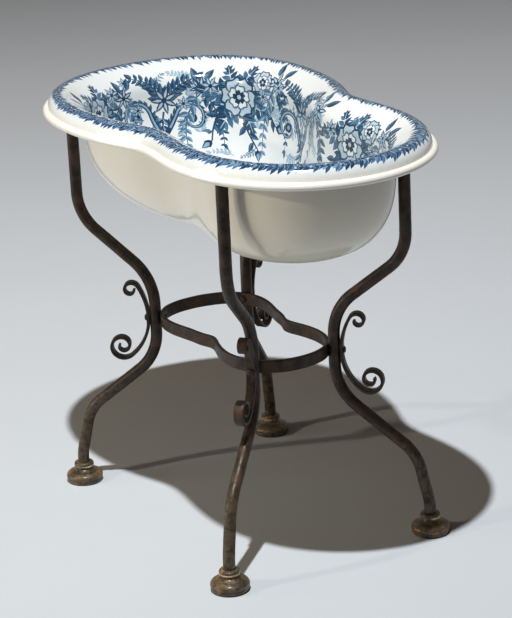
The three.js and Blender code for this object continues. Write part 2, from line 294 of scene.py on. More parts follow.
class SurfaceEffects:
    """Shader node groups that more than one finish uses."""

    def __init__(self) -> None:
        """Builds each group once."""
        self.grain = self.fine_grain()
        self.blotches = self.soft_blotches()
        self.specks = self.small_specks()

    @staticmethod
    def fine_grain() -> NodeTree:
        """Fine and coarse noise together, for height and for shade.

        Returns:
            The group.
        """
        inputs = {"Place": None, "Fineness": 400.0, "Coarse Share": 0.4}
        tree, sheet, given, made = new_group("fine grain", inputs, ["Height", "Shade"])
        fine = sheet.noise(given["Place"], given["Fineness"], 4.0, 0.6)
        coarse = sheet.noise(given["Place"], sheet.times(given["Fineness"], 0.16), 3.0, 0.55)
        fine_part = sheet.times(fine, sheet.minus(1.0, given["Coarse Share"]))
        coarse_part = sheet.times(coarse, given["Coarse Share"])
        sheet.feed(made["Height"], sheet.math("ADD", fine_part, coarse_part))
        sheet.feed(made["Shade"], sheet.step(coarse, 0.3, 0.7))
        return tree

    @staticmethod
    def soft_blotches() -> NodeTree:
        """Ragged patches, such as rust, that cover a given part of the surface.

        Returns:
            The group.
        """
        inputs = {"Place": None, "Size": 60.0, "Cover": 0.4, "Raggedness": 0.12}
        tree, sheet, given, made = new_group("soft blotches", inputs, ["Mask", "Core"])
        cloud = sheet.noise(given["Place"], given["Size"], 7.0, 0.66)
        middle = sheet.minus(0.68, sheet.times(given["Cover"], 0.36))
        low = sheet.minus(middle, given["Raggedness"])
        high = sheet.math("ADD", middle, given["Raggedness"])
        sheet.feed(made["Mask"], sheet.step(cloud, low, high))
        sheet.feed(made["Core"], sheet.step(cloud, middle, sheet.math("ADD", high, 0.04)))
        return tree

    @staticmethod
    def small_specks() -> NodeTree:
        """Scattered round specks, a few of the cells only.

        Returns:
            The group.
        """
        inputs = {"Place": None, "Spacing": 60.0, "Radius": 0.05, "Cover": 0.2}
        tree, sheet, given, made = new_group("small specks", inputs, ["Mask"])
        feeds = {"Vector": given["Place"], "Scale": given["Spacing"]}
        cells = sheet.add("ShaderNodeTexVoronoi", feeds).outputs
        chance = sheet.add("ShaderNodeTexWhiteNoise", {"Vector": cells["Position"]}).outputs["Value"]
        chosen = sheet.math("LESS_THAN", chance, given["Cover"])
        radius = sheet.times(given["Radius"], sheet.math("ADD", 0.4, chance))
        dot = sheet.minus(1.0, sheet.step(cells["Distance"], sheet.times(radius, 0.5), radius))
        sheet.feed(made["Mask"], sheet.times(dot, chosen))
        return tree


class Finish:
    """A material that is being made, with the sheet that it is drawn on."""

    def __init__(self, name: str, effects: SurfaceEffects) -> None:
        """Starts the material, with its Principled shader.

        Args:
            name: the material's name.
            effects: the groups that it can use.
        """
        self.effects = effects
        self.material = bpy.data.materials.new(name)
        self.material.use_nodes = True
        self.sheet = NodeSheet(self.material.node_tree)
        self.place = self.sheet.object_place()
        self.shader = self.material.node_tree.nodes["Principled BSDF"]

    def vary(self, socket: str, value: Socket) -> None:
        """Feeds one of the shader's sockets with what changes over the surface."""
        self.sheet.feed(self.shader.inputs[socket], value)

    def keep(self, **values: float) -> None:
        """Sets sockets that are the same all over, named with _ for each space."""
        for socket, value in values.items():
            self.shader.inputs[socket.replace("_", " ")].default_value = value

    def emboss(self, height: Socket, strength: float, distance: float) -> None:
        """Raises and sinks the surface by a height, over a distance in metres."""
        bump = {"Strength": strength, "Distance": distance, "Height": height}
        self.vary("Normal", self.sheet.add("ShaderNodeBump", bump).outputs[0])

    def grained(self, fineness: float, coarse_share: float) -> Sockets:
        """Height and shade of the grain."""
        feeds = {"Place": self.place, "Fineness": fineness, "Coarse Share": coarse_share}
        return self.sheet.group(self.effects.grain, feeds)

    def patched(self, patches: Patches) -> Sockets:
        """Mask and core of patches."""
        sizes = {"Size": patches.scale, "Cover": patches.cover, "Raggedness": patches.raggedness}
        return self.sheet.group(self.effects.blotches, {"Place": self.place, **sizes})

    def dotted(self, dots: Dots) -> Socket:
        """Mask of dots."""
        sizes = {"Spacing": dots.crowding, "Radius": dots.radius, "Cover": dots.cover}
        return self.sheet.group(self.effects.specks, {"Place": self.place, **sizes})["Mask"]

    def covered(self, body: Socket, colour: Colour, marks: Patches | Dots) -> Socket:
        """Lays patches or dots of one colour over another."""
        mask = self.dotted(marks) if isinstance(marks, Dots) else self.patched(marks)["Mask"]
        return self.sheet.laid_over(body, colour, mask, marks.strength)


@dataclass(frozen=True)
class Glaze:
    """Clear gloss glaze on ivory earthenware, with a blue print under it on the inside."""

    effects: SurfaceEffects
    # The outside's ivory is partly the body's cream colour and partly painted warm shade, as the outside lies
    # mostly in shade under the rim.
    ivory: Colour = (0.825, 0.815, 0.75)
    white: Colour = (0.71, 0.76, 0.775)
    tea: Colour = (0.73, 0.69, 0.58)
    # A warm darker tint: painted shade on the outside of the narrow end.
    stain: Colour = (0.60, 0.53, 0.36)
    bleed: Colour = (0.43, 0.55, 0.68)
    fleck: Colour = (0.16, 0.11, 0.07)
    hairline: Colour = (0.42, 0.33, 0.22)
    clouds: Patches = Patches(11.0, 0.5, 0.2, 0.22)
    iron_dots: Dots = Dots(42.0, 0.07, 0.15, 0.6)
    outer_flecks: Dots = Dots(23.0, 0.034, 0.3, 0.8)
    # Where along the basin the painted shade lies, and how strong it is.
    stained_end: tuple[float, float] = (-0.15, -0.085)
    stain_strength: float = 0.34
    haze_strength: float = 0.75
    hairline_strength: float = 0.16
    roughness: float = 0.11
    glass_index: float = 1.52
    print_tones: tuple = (
        (0.0, (0.68, 0.73, 0.75)), (0.2, (0.42, 0.54, 0.63)), (0.36, (0.225, 0.375, 0.505)),
        (0.58, (0.060, 0.162, 0.280)), (0.76, (0.018, 0.072, 0.150)), (1.0, (0.005, 0.030, 0.074)),
    )
    border_tones: tuple = (
        (0.0, (0.68, 0.73, 0.75)), (0.3, (0.28, 0.41, 0.56)), (0.58, (0.048, 0.138, 0.272)),
        (0.76, (0.013, 0.056, 0.128)), (1.0, (0.004, 0.026, 0.070)),
    )

    def material(self) -> Material:
        """Builds the glaze.

        Returns:
            The material.
        """
        finish = Finish("glazed earthenware", self.effects)
        sheet = finish.sheet
        inside = sheet.attribute("inside")
        printed = self.inked(finish, self.unprinted(finish, inside))
        speckled = finish.covered(self.crazed(finish, printed), self.fleck, self.iron_dots)
        flecks = finish.dotted(self.outer_flecks)
        fewer_inside = sheet.minus(self.outer_flecks.strength, sheet.times(inside, 0.7))
        finish.vary("Base Color", sheet.laid_over(speckled, self.fleck, flecks, fewer_inside))
        ripple = finish.grained(90.0, 0.75)
        dullness = (self.roughness * 0.8, self.roughness * 1.35)
        finish.vary("Roughness", sheet.step(ripple["Shade"], 0.0, 1.0, *dullness))
        finish.emboss(ripple["Height"], 0.35, 0.0006)
        finish.keep(IOR=self.glass_index)
        return finish.material

    def unprinted(self, finish: Finish, inside: Socket) -> Socket:
        """Colour of the glaze under the print, with its old stains and with painted shade on the outside of
        the narrow end.

        Args:
            finish: the material.
            inside: 0 on the outside to 1 on the inside.

        Returns:
            The colour.
        """
        sheet, place = finish.sheet, finish.place
        # Ivory outside, white inside: the outside's warmth is partly painted shade.
        plain = sheet.mix(inside, rgba(self.ivory), rgba(self.white))
        clouded = finish.covered(plain, self.tea, self.clouds)
        aged = sheet.mix(sheet.times(inside, 0.75), clouded, plain)
        # Painted shade: the outside of the narrow end is tinted warmer and darker, where the bowl lies in
        # shade.
        narrow_end_shade = sheet.step(sheet.axis(place, 1), *self.stained_end, self.stain_strength, 0.0)
        outside = sheet.step(inside, 0.05, 0.25, 1.0, 0.0)
        tinted = sheet.laid_over(aged, self.stain, narrow_end_shade, outside)
        bled = sheet.times(sheet.attribute("bleed"), sheet.noise(place, 120.0, 2.0))
        return sheet.laid_over(tinted, self.bleed, bled, self.haze_strength)

    def inked(self, finish: Finish, body: Socket) -> Socket:
        """Lays the print over the glaze's own colour.

        Args:
            finish: the material.
            body: colour of the glaze without print.

        Returns:
            The printed colour.
        """
        sheet, place = finish.sheet, finish.place
        printed = sheet.attribute("print", "Vector")
        ink = sheet.axis(printed, 0)
        border = sheet.axis(printed, 1)
        lines = sheet.add(
            "ShaderNodeTexWave",
            {"Vector": place, "Scale": 260.0, "Distortion": 5.0, "Detail": 2.0, "Detail Scale": 0.3},
            wave_type="BANDS", bands_direction="DIAGONAL",
        ).outputs["Fac"]
        tooled = sheet.times(sheet.minus(lines, 0.5), 0.26)
        clouded = sheet.times(sheet.minus(sheet.noise(place, 260.0, 3.0, 0.6), 0.5), 0.5)
        worn = sheet.times(sheet.minus(sheet.noise(place, 55.0, 2.0, 0.5), 0.5), 0.5)
        change = sheet.math("ADD", sheet.math("ADD", tooled, clouded), worn)
        tone = sheet.times(ink, sheet.math("ADD", 0.96, change))
        blue = sheet.mix(border, sheet.ramp(tone, self.print_tones), sheet.ramp(tone, self.border_tones))
        return sheet.mix(sheet.step(ink, 0.02, 0.14), body, blue)

    def crazed(self, finish: Finish, body: Socket) -> Socket:
        """Adds a faint net of hairlines in the glaze.

        Args:
            finish: the material.
            body: the colour under the hairlines.

        Returns:
            The colour with the hairlines.
        """
        sheet, place = finish.sheet, finish.place
        feeds = {"Vector": place, "Scale": 70.0}
        cells = sheet.add("ShaderNodeTexVoronoi", feeds, feature="DISTANCE_TO_EDGE")
        hair = sheet.minus(1.0, sheet.step(cells.outputs["Distance"], 0.004, 0.018))
        where = sheet.step(sheet.noise(place, 9.0, 2.0), 0.5, 0.7)
        return sheet.laid_over(body, self.hairline, sheet.times(hair, where), self.hairline_strength)


@dataclass(frozen=True)
class WroughtIron:
    """Dark forged iron, waxed, with rust where the wax has gone."""

    effects: SurfaceEffects
    dark: Colour = (0.013, 0.0095, 0.0078)
    brown: Colour = (0.044, 0.033, 0.024)
    rust: Colour = (0.115, 0.055, 0.031)
    dust: Colour = (0.44, 0.38, 0.27)
    olive: Colour = (0.105, 0.088, 0.052)
    olive_top: float = 0.145
    rust_patches: Patches = Patches(42.0, 0.28, 0.1, 0.55)
    rust_flakes: Patches = Patches(260.0, 0.28, 0.06, 0.45)
    olive_patches: Patches = Patches(150.0, 0.5, 0.08, 0.65)
    dust_dots: Dots = Dots(320.0, 0.4, 0.2, 0.15)
    more_dust_low: float = 0.6
    pits: Dots = Dots(290.0, 0.4, 0.3, 0.6)
    waxed_roughness: float = 0.4
    rusty_roughness: float = 0.72

    def material(self) -> Material:
        """Builds the iron of the legs, hoop, ring, scrolls and rivets.

        Returns:
            The material.
        """
        finish = Finish("wrought iron", self.effects)
        sheet = finish.sheet
        grain = finish.grained(520.0, 0.45)
        skin = sheet.mix(grain["Shade"], rgba(self.dark), rgba(self.brown))
        rust = finish.patched(self.rust_patches)["Mask"]
        flakes = finish.patched(self.rust_flakes)
        some = sheet.times(rust, self.rust_patches.strength)
        fine = sheet.times(flakes["Mask"], self.rust_flakes.strength)
        rusty = sheet.mix(sheet.math("MAXIMUM", some, fine), skin, rgba(self.rust))
        low = sheet.step(sheet.axis(finish.place, 2), self.olive_top * 0.5, self.olive_top, 1.0, 0.0)
        tinted = sheet.times(low, finish.patched(self.olive_patches)["Mask"])
        aged = sheet.laid_over(rusty, self.olive, tinted, self.olive_patches.strength)
        dust = finish.dotted(self.dust_dots)
        dustiness = sheet.math("ADD", self.dust_dots.strength, sheet.times(low, self.more_dust_low))
        dusty = sheet.laid_over(aged, self.dust, dust, dustiness)
        finish.vary("Base Color", finish.covered(dusty, self.dark, self.pits))
        dullness = sheet.math("MAXIMUM", rust, flakes["Mask"])
        finish.vary("Roughness", sheet.step(dullness, 0.0, 1.0, self.waxed_roughness, self.rusty_roughness))
        finish.keep(Metallic=0.3, Specular_IOR_Level=0.32)
        finish.emboss(sheet.minus(grain["Height"], sheet.times(flakes["Core"], 0.4)), 0.55, 0.0005)
        return finish.material


@dataclass(frozen=True)
class CastIron:
    """Olive-brown cast iron of the feet, rusty in its hollows, with tan on the collar's edge that is partly
    rubbed bare iron and partly a painted highlight.
    """

    effects: SurfaceEffects
    olive: Colour = (0.022, 0.016, 0.009)
    umber: Colour = (0.108, 0.086, 0.044)
    rust: Colour = (0.36, 0.15, 0.024)
    # The collar's tan is partly rubbed bare iron and partly a painted highlight.
    tan: Colour = (0.92, 0.62, 0.34)
    rust_patches: Patches = Patches(110.0, 0.3, 0.04, 0.8)
    dirt: Patches = Patches(210.0, 0.42, 0.06, 0.85)
    rubbed: Patches = Patches(45.0, 0.5, 0.1)
    pits: Dots = Dots(310.0, 0.42, 0.34, 0.7)
    smooth_roughness: float = 0.36
    rusty_roughness: float = 0.7

    def material(self) -> Material:
        """Builds the iron of the feet.

        Returns:
            The material.
        """
        finish = Finish("cast foot iron", self.effects)
        sheet = finish.sheet
        grain = finish.grained(620.0, 0.5)
        skin = sheet.mix(grain["Shade"], rgba(self.olive), rgba(self.umber))
        rust = finish.patched(self.rust_patches)["Mask"]
        rusty = sheet.laid_over(skin, self.rust, rust, self.rust_patches.strength)
        pitted = finish.covered(finish.covered(rusty, self.olive, self.dirt), self.olive, self.pits)
        broken = finish.patched(self.rubbed)["Mask"]
        # The tan on the collar's edge is partly rubbed bare iron and partly a painted highlight.
        finish.vary("Base Color", sheet.laid_over(pitted, self.tan, sheet.attribute("wear"), broken))
        finish.vary("Roughness", sheet.step(rust, 0.0, 1.0, self.smooth_roughness, self.rusty_roughness))
        finish.keep(Metallic=0.1, Specular_IOR_Level=0.4, Coat_Weight=0.3, Coat_Roughness=0.2)
        finish.emboss(grain["Height"], 1.0, 0.0014)
        return finish.material


@dataclass(frozen=True)
class StudioFloor:
    """Pale blue-grey painted floor, with painted light: lightest in a broad band behind the stand, darker in
    front of it.

    Each band is a distance behind the stand, in metres, and the level of the painted light there, which the
    paint's colour is multiplied by.
    """

    effects: SurfaceEffects
    paint: Colour = (0.66, 0.722, 0.785)
    scuff: Colour = (0.62, 0.676, 0.735)
    scuffs: Patches = Patches(3.0, 0.5, 0.25, 0.35)
    away: tuple[float, float] = (0.477, 0.879)
    bands: tuple = (
        (-1.5, 0.5), (-0.75, 0.6), (-0.3, 0.83), (0.33, 0.99), (0.72, 1.12), (1.2, 1.21),
        (2.15, 1.27), (2.65, 1.2), (3.3, 0.98),
    )

    def material(self) -> Material:
        """Builds the floor's paint.

        Returns:
            The material.
        """
        finish = Finish("floor paint", self.effects)
        worn = finish.sheet.times(finish.patched(self.scuffs)["Mask"], self.scuffs.strength)
        colour = finish.sheet.mix(worn, rgba(self.paint), rgba(self.scuff))
        # The paint is made lighter and darker by distance: painted light that stands in for how the lamps'
        # light spreads over the floor.
        finish.vary("Base Color", finish.sheet.scaled(colour, self.lightness(finish)))
        finish.emboss(finish.grained(160.0, 0.5)["Height"], 0.2, 0.0004)
        finish.keep(Roughness=0.85, Specular_IOR_Level=0.2)
        return finish.material

    def lightness(self, finish: Finish) -> Socket:
        """Painted light on the floor: how light the paint is, by its distance behind the stand.

        Args:
            finish: the material.

        Returns:
            What the paint's colour is multiplied by.
        """
        sheet = finish.sheet
        feeds = {0: finish.place, 1: (*self.away, 0.0)}
        behind = sheet.add("ShaderNodeVectorMath", feeds, operation="DOT_PRODUCT").outputs[1]
        near, far = self.bands[0][0], self.bands[-1][0]
        share = sheet.step(behind, near, far, course="LINEAR")
        stops = [((distance - near) / (far - near), (level / 2,) * 3) for distance, level in self.bands]
        return sheet.times(sheet.ramp(share, stops), 2.0)


# Outlines and meshes

@dataclass(frozen=True)
class ViolinOutline:
    """A violin outline in plan. Angle 0 points along +Y and turns toward +X."""

    length: float
    waist: float
    fullness: float
    shoulder: float
    egg: float
    centre_x: float = 0.0
    centre_y: float = 0.0

    @property
    def stretch(self) -> float:
        """How far the ends stand out from a round outline."""
        return (self.length - self.waist) / 4 - self.shoulder

    def radius(self, angle: np.ndarray) -> np.ndarray:
        """Distance from the outline's centre at each angle.

        Args:
            angle: angles round the outline.

        Returns:
            The distances.
        """
        mean = (self.length + self.waist) / 4 - self.fullness
        ends = mean + self.stretch * np.cos(2 * angle) + self.fullness * np.cos(4 * angle)
        return ends + self.shoulder * np.cos(6 * angle) + self.egg * np.cos(3 * angle)

    def slope(self, angle: np.ndarray) -> np.ndarray:
        """How fast the radius changes with the angle."""
        ends = -2 * self.stretch * np.sin(2 * angle) - 4 * self.fullness * np.sin(4 * angle)
        return ends - 6 * self.shoulder * np.sin(6 * angle) - 3 * self.egg * np.sin(3 * angle)

    def normal(self, angle: np.ndarray) -> np.ndarray:
        """Outward direction in plan, square to the outline, as rows of x and y.

        Args:
            angle: angles round the outline.

        Returns:
            Rows of x and y.
        """
        radius = self.radius(angle)
        slope = self.slope(angle)
        across = slope * np.sin(angle) + radius * np.cos(angle)
        along = slope * np.cos(angle) - radius * np.sin(angle)
        size = np.hypot(across, along)
        return np.stack([-along / size, across / size], -1)

    def plan(self, angle: np.ndarray, offset: np.ndarray | float) -> np.ndarray:
        """Points in plan at a distance outside the outline.

        Args:
            angle: angles round the outline.
            offset: distance outside it, negative inside.

        Returns:
            Rows of x and y.
        """
        radius = self.radius(angle)
        centre = np.array([self.centre_x, self.centre_y])
        on_line = centre + np.stack([radius * np.sin(angle), radius * np.cos(angle)], -1)
        return on_line + self.normal(angle) * np.asarray(offset)[..., None]

    def seat(self, angle: float, offset: float, width: float) -> tuple[Vector, Vector]:
        """The flat that a leg is riveted to.

        Args:
            angle: the seat's angle.
            offset: distance outside the outline.
            width: length of the flat.

        Returns:
            The flat's middle and the way it faces, both level.
        """
        half = width / 2 / float(self.radius(np.array(angle)))
        ends = self.plan(np.array([angle - half, angle + half]), offset)
        start, end = (Vector((*p, 0.0)) for p in ends)
        along = (end - start).normalized()
        return (start + end) / 2, Vector((-along.y, along.x, 0.0))


def new_object(name: str, content: bpy.types.ID) -> Object:
    """An object in the scene.

    Args:
        name: its name.
        content: its mesh, light or camera.

    Returns:
        The object.
    """
    piece = bpy.data.objects.new(name, content)
    bpy.context.scene.collection.objects.link(piece)
    return piece


def mesh_from(name: str, points: np.ndarray, faces: Sequence, edges: Sequence = ()) -> Mesh:
    """A mesh from points in millimetres.

    Args:
        name: the mesh's name.
        points: rows of x, y and z.
        faces: lists of point numbers.
        edges: pairs of point numbers, for a mesh with no faces.

    Returns:
        The mesh, in metres.
    """
    mesh = bpy.data.meshes.new(name)
    mesh.from_pydata((np.asarray(points, float) * MM).tolist(), list(edges), list(faces))
    mesh.update()
    return mesh


def add_attribute(mesh: Mesh, name: str, kind: str, domain: str, values: np.ndarray) -> None:
    """Stores numbers on a mesh.

    Args:
        mesh: the mesh.
        name: the attribute's name.
        kind: FLOAT or FLOAT_VECTOR.
        domain: POINT or FACE.
        values: one number or one row for each element.
    """
    attribute = mesh.attributes.new(name, kind, domain)
    key = "value" if kind == "FLOAT" else "vector"
    attribute.data.foreach_set(key, np.asarray(values, np.float32).ravel())


def arc(centre: Point, radius: float, start: float, end: float, steps: int) -> np.ndarray:
    """Points on a round from one angle to another, in degrees."""
    angles = np.radians(np.linspace(start, end, steps + 1))
    return np.stack([centre[0] + radius * np.cos(angles), centre[1] + radius * np.sin(angles)], -1)


def join_ring(below: int, above: int, count: int) -> list[tuple[int, int, int, int]]:
    """Faces between two closed rows of points.

    Args:
        below: number of the first row's first point.
        above: number of the other row's first point, on the left of the way round.
        count: points in each row.

    Returns:
        Four point numbers for each face.
    """
    ahead = [(c + 1) % count for c in range(count)]
    return [(below + c, below + ahead[c], above + ahead[c], above + c) for c in range(count)]


def corner_curve(start: Point, control: Point, end: Point, steps: int) -> np.ndarray:
    """Points on a curve with one control point."""
    t = np.linspace(0, 1, steps + 1)[:, None]
    return (1 - t) ** 2 * np.array(start) + 2 * t * (1 - t) * np.array(control) + t ** 2 * np.array(end)


def join_runs(*runs: np.ndarray) -> np.ndarray:
    """Joins runs of points, and leaves out a run's first point where it repeats the last one.

    Args:
        *runs: rows of x and y.

    Returns:
        All their rows.
    """
    joined = [runs[0]]
    for run in runs[1:]:
        repeats = np.linalg.norm(run[0] - joined[-1][-1]) < 1e-6
        joined.append(run[1:] if repeats else run)
    return np.concatenate(joined)


def bent_run(corners: Sequence[tuple[Vector, float]], steps: int) -> list[Vector]:
    """Points along a bent bar, straight between corners with a round bend at each inner one.

    Args:
        corners: each corner's place and the radius of its bend.
        steps: steps in each bend.

    Returns:
        The points, from the first corner to the last.
    """
    points = [corners[0][0].copy()]
    for (before, _), (corner, radius), (after, _) in zip(corners, corners[1:], corners[2:]):
        back = (before - corner).normalized()
        ahead = (after - corner).normalized()
        half = back.angle(ahead) / 2
        reach = radius / math.tan(half)
        centre = corner + (back + ahead).normalized() * radius / math.sin(half)
        start = corner + back * reach - centre
        end = corner + ahead * reach - centre
        turn = start.angle(end)
        for step in range(steps + 1):
            t = step / steps
            swung = start * math.sin((1 - t) * turn) + end * math.sin(t * turn)
            points.append(centre + swung / math.sin(turn))
    points.append(corners[-1][0].copy())
    return points


def even_steps(points: Sequence[Vector], step: float) -> np.ndarray:
    """Points at even distances along a line of points.

    Args:
        points: the line.
        step: about the distance between two results.

    Returns:
        Rows of x, y and z, with both ends.
    """
    line = np.array([tuple(p) for p in points])
    run = np.concatenate([[0.0], np.cumsum(np.linalg.norm(np.diff(line, axis=0), axis=1))])
    places = np.linspace(0, run[-1], max(2, round(run[-1] / step)) + 1)
    return np.stack([np.interp(places, run, line[:, axis]) for axis in range(3)], -1)


# Geometry Nodes

class ForgeTree:
    """A Geometry Nodes tree that turns a line or points into a finished iron piece."""

    def __init__(self, name: str, inputs: Sequence[tuple[str, str, object]]) -> None:
        """Starts the tree.

        Args:
            name: the tree's name.
            inputs: name, kind of socket and first value of each size it takes.
        """
        self.tree = bpy.data.node_groups.new(name, "GeometryNodeTree")
        face = self.tree.interface
        face.new_socket("Geometry", in_out="INPUT", socket_type="NodeSocketGeometry")
        face.new_socket("Geometry", in_out="OUTPUT", socket_type="NodeSocketGeometry")
        for label, kind, first in inputs:
            socket = face.new_socket(label, in_out="INPUT", socket_type=kind)
            if first is not None:
                socket.default_value = first
        self.sheet = NodeSheet(self.tree)
        self.given = self.sheet.add("NodeGroupInput").outputs

    def finish(self, geometry: Feed) -> None:
        """Ends the tree: real mesh, material, output.

        Args:
            geometry: what the tree has made.
        """
        real = self.sheet.add("GeometryNodeRealizeInstances", {0: geometry})
        feeds = {"Geometry": real, "Material": self.given["Material"]}
        self.sheet.add("NodeGroupOutput", {"Geometry": self.sheet.add("GeometryNodeSetMaterial", feeds)})

    def hammered(self, geometry: Feed) -> NodeSocket:
        """Moves the surface in and out a little, as a hammer leaves it.

        Args:
            geometry: the surface.

        Returns:
            The marked surface.
        """
        sheet = self.sheet
        place = sheet.add("GeometryNodeInputPosition")
        feeds = {"Vector": place, "W": self.given["Seed"], "Scale": self.given["Hammer Marks"], "Detail": 2.0}
        wave = sheet.add("ShaderNodeTexNoise", feeds, noise_dimensions="4D").outputs[0]
        depth = sheet.times(sheet.minus(wave, 0.62), self.given["Hammer Depth"])
        normal = sheet.add("GeometryNodeInputNormal").outputs["Normal"]
        push = sheet.scaled(normal, depth)
        return sheet.add("GeometryNodeSetPosition", {"Geometry": geometry, "Offset": push}).outputs[0]

    def swept(self, profile: Feed, normals: str) -> None:
        """Sweeps a profile along the given line, hammers it and ends the tree.

        Args:
            profile: the profile curve.
            normals: how the profile is held, MINIMUM_TWIST or Z_UP.
        """
        sheet = self.sheet
        line = sheet.add("GeometryNodeMeshToCurve", {"Mesh": self.given["Geometry"]})
        held = sheet.add("GeometryNodeSetCurveNormal", {"Curve": line}, mode=normals)
        taper = sheet.add("GeometryNodeInputNamedAttribute", {"Name": "taper"}, data_type="FLOAT").outputs[0]
        feeds = {"Curve": held, "Profile Curve": profile, "Scale": taper, "Fill Caps": True}
        marked = self.hammered(sheet.add("GeometryNodeCurveToMesh", feeds))
        self.finish(sheet.add("GeometryNodeSetShadeSmooth", {"Geometry": marked, "Shade Smooth": True}))

    def apply(self, name: str, mesh: Mesh, values: dict[str, object]) -> Object:
        """Runs the tree on a mesh and keeps the result as a plain mesh.

        Args:
            name: name of the finished piece.
            mesh: the line or points that the tree starts from.
            values: value for each named input.

        Returns:
            The finished piece.
        """
        piece = new_object(name, mesh)
        modifier = piece.modifiers.new("forge", "NODES")
        modifier.node_group = self.tree
        identifiers = {
            item.name: item.identifier for item in self.tree.interface.items_tree
            if item.item_type == "SOCKET" and item.in_out == "INPUT"
        }
        for label, value in values.items():
            modifier[identifiers[label]] = value
        bpy.context.view_layer.update()
        view = bpy.context.evaluated_depsgraph_get()
        made = bpy.data.meshes.new_from_object(
            piece.evaluated_get(view), preserve_all_data_layers=True, depsgraph=view,
        )
        piece.modifiers.clear()
        piece.data = made
        made.name = name
        bpy.data.meshes.remove(mesh)
        return piece


FORGE_INPUTS = (
    ("Hammer Depth", "NodeSocketFloat", 0.0003),
    ("Hammer Marks", "NodeSocketFloat", 90.0),
    ("Seed", "NodeSocketFloat", 0.0),
    ("Material", "NodeSocketMaterial", None),
)


def bar_tree() -> ForgeTree:
    """Round bar along a line.

    Returns:
        The tree.
    """
    forge = ForgeTree("bar along a line", [("Diameter", "NodeSocketFloat", 0.0124), *FORGE_INPUTS])
    sizes = {"Resolution": 24, "Radius": forge.sheet.times(forge.given["Diameter"], 0.5)}
    circle = forge.sheet.add("GeometryNodeCurvePrimitiveCircle", sizes, mode="RADIUS")
    forge.swept(circle.outputs["Curve"], "MINIMUM_TWIST")
    return forge


def strip_tree() -> ForgeTree:
    """Flat strip on edge along a level line, with its edges eased.

    Returns:
        The tree.
    """
    inputs = (("Thickness", 0.004), ("Width", 0.014), ("Edge", 0.0007))
    sizes = [(label, "NodeSocketFloat", first) for label, first in inputs]
    forge = ForgeTree("strip along a line", [*sizes, *FORGE_INPUTS])
    sheet = forge.sheet
    sides = {"Width": forge.given["Thickness"], "Height": forge.given["Width"]}
    square = sheet.add("GeometryNodeCurvePrimitiveQuadrilateral", sides, mode="RECTANGLE")
    eased = {"Curve": square, "Count": 3, "Radius": forge.given["Edge"], "Limit Radius": True}
    rounded = sheet.add("GeometryNodeFilletCurve", eased, mode="POLY")
    spaced = sheet.add("GeometryNodeResampleCurve", {"Curve": rounded, "Length": 0.0008}, mode="LENGTH")
    forge.swept(spaced, "Z_UP")
    return forge


def copies_tree() -> ForgeTree:
    """A piece repeated on points, each turned to face along the point's aim.

    Returns:
        The tree.
    """
    forge = ForgeTree("copies on points", [
        ("Piece", "NodeSocketObject", None), ("Size Spread", "NodeSocketFloat", 0.03),
        ("Seed", "NodeSocketInt", 0), ("Material", "NodeSocketMaterial", None),
    ])
    sheet = forge.sheet

    def chosen(least: Feed, most: float) -> Socket:
        """A random number between two, by the tree's seed."""
        feeds = {2: least, 3: most, "Seed": forge.given["Seed"]}
        return sheet.add("FunctionNodeRandomValue", feeds, data_type="FLOAT").outputs[1]

    piece = sheet.add("GeometryNodeObjectInfo", {"Object": forge.given["Piece"]}).outputs["Geometry"]
    aim = sheet.add("GeometryNodeInputNamedAttribute", {"Name": "aim"}, data_type="FLOAT_VECTOR").outputs[0]
    faced = sheet.add("FunctionNodeAlignRotationToVector", {"Vector": aim}, axis="Z")
    roll = sheet.add("FunctionNodeAxisAngleToRotation", {"Axis": (0, 0, 1), "Angle": chosen(0.0, TAU)})
    rolled = {"Rotation": faced, "Rotate By": roll}
    turned = sheet.add("FunctionNodeRotateRotation", rolled, rotation_space="LOCAL")
    size = chosen(sheet.minus(1.0, forge.given["Size Spread"]), 1.0)
    feeds = {"Points": forge.given["Geometry"], "Instance": piece, "Rotation": turned, "Scale": size}
    forge.finish(sheet.add("GeometryNodeInstanceOnPoints", feeds))
    return forge


# Basin

@dataclass
class PrintedFace:
    """The basin's upper face with the print's lines cut into it.

    The points of its outer edge come first. Prints holds each face's tone and its share of the
    border's bluer ink, haze how far each point lies in the blur of ink round the border, and
    past_skirt how far it lies inward of the skirt.
    """

    points: np.ndarray
    faces: list[tuple[int, ...]]
    prints: np.ndarray
    normals: np.ndarray
    haze: np.ndarray
    past_skirt: np.ndarray


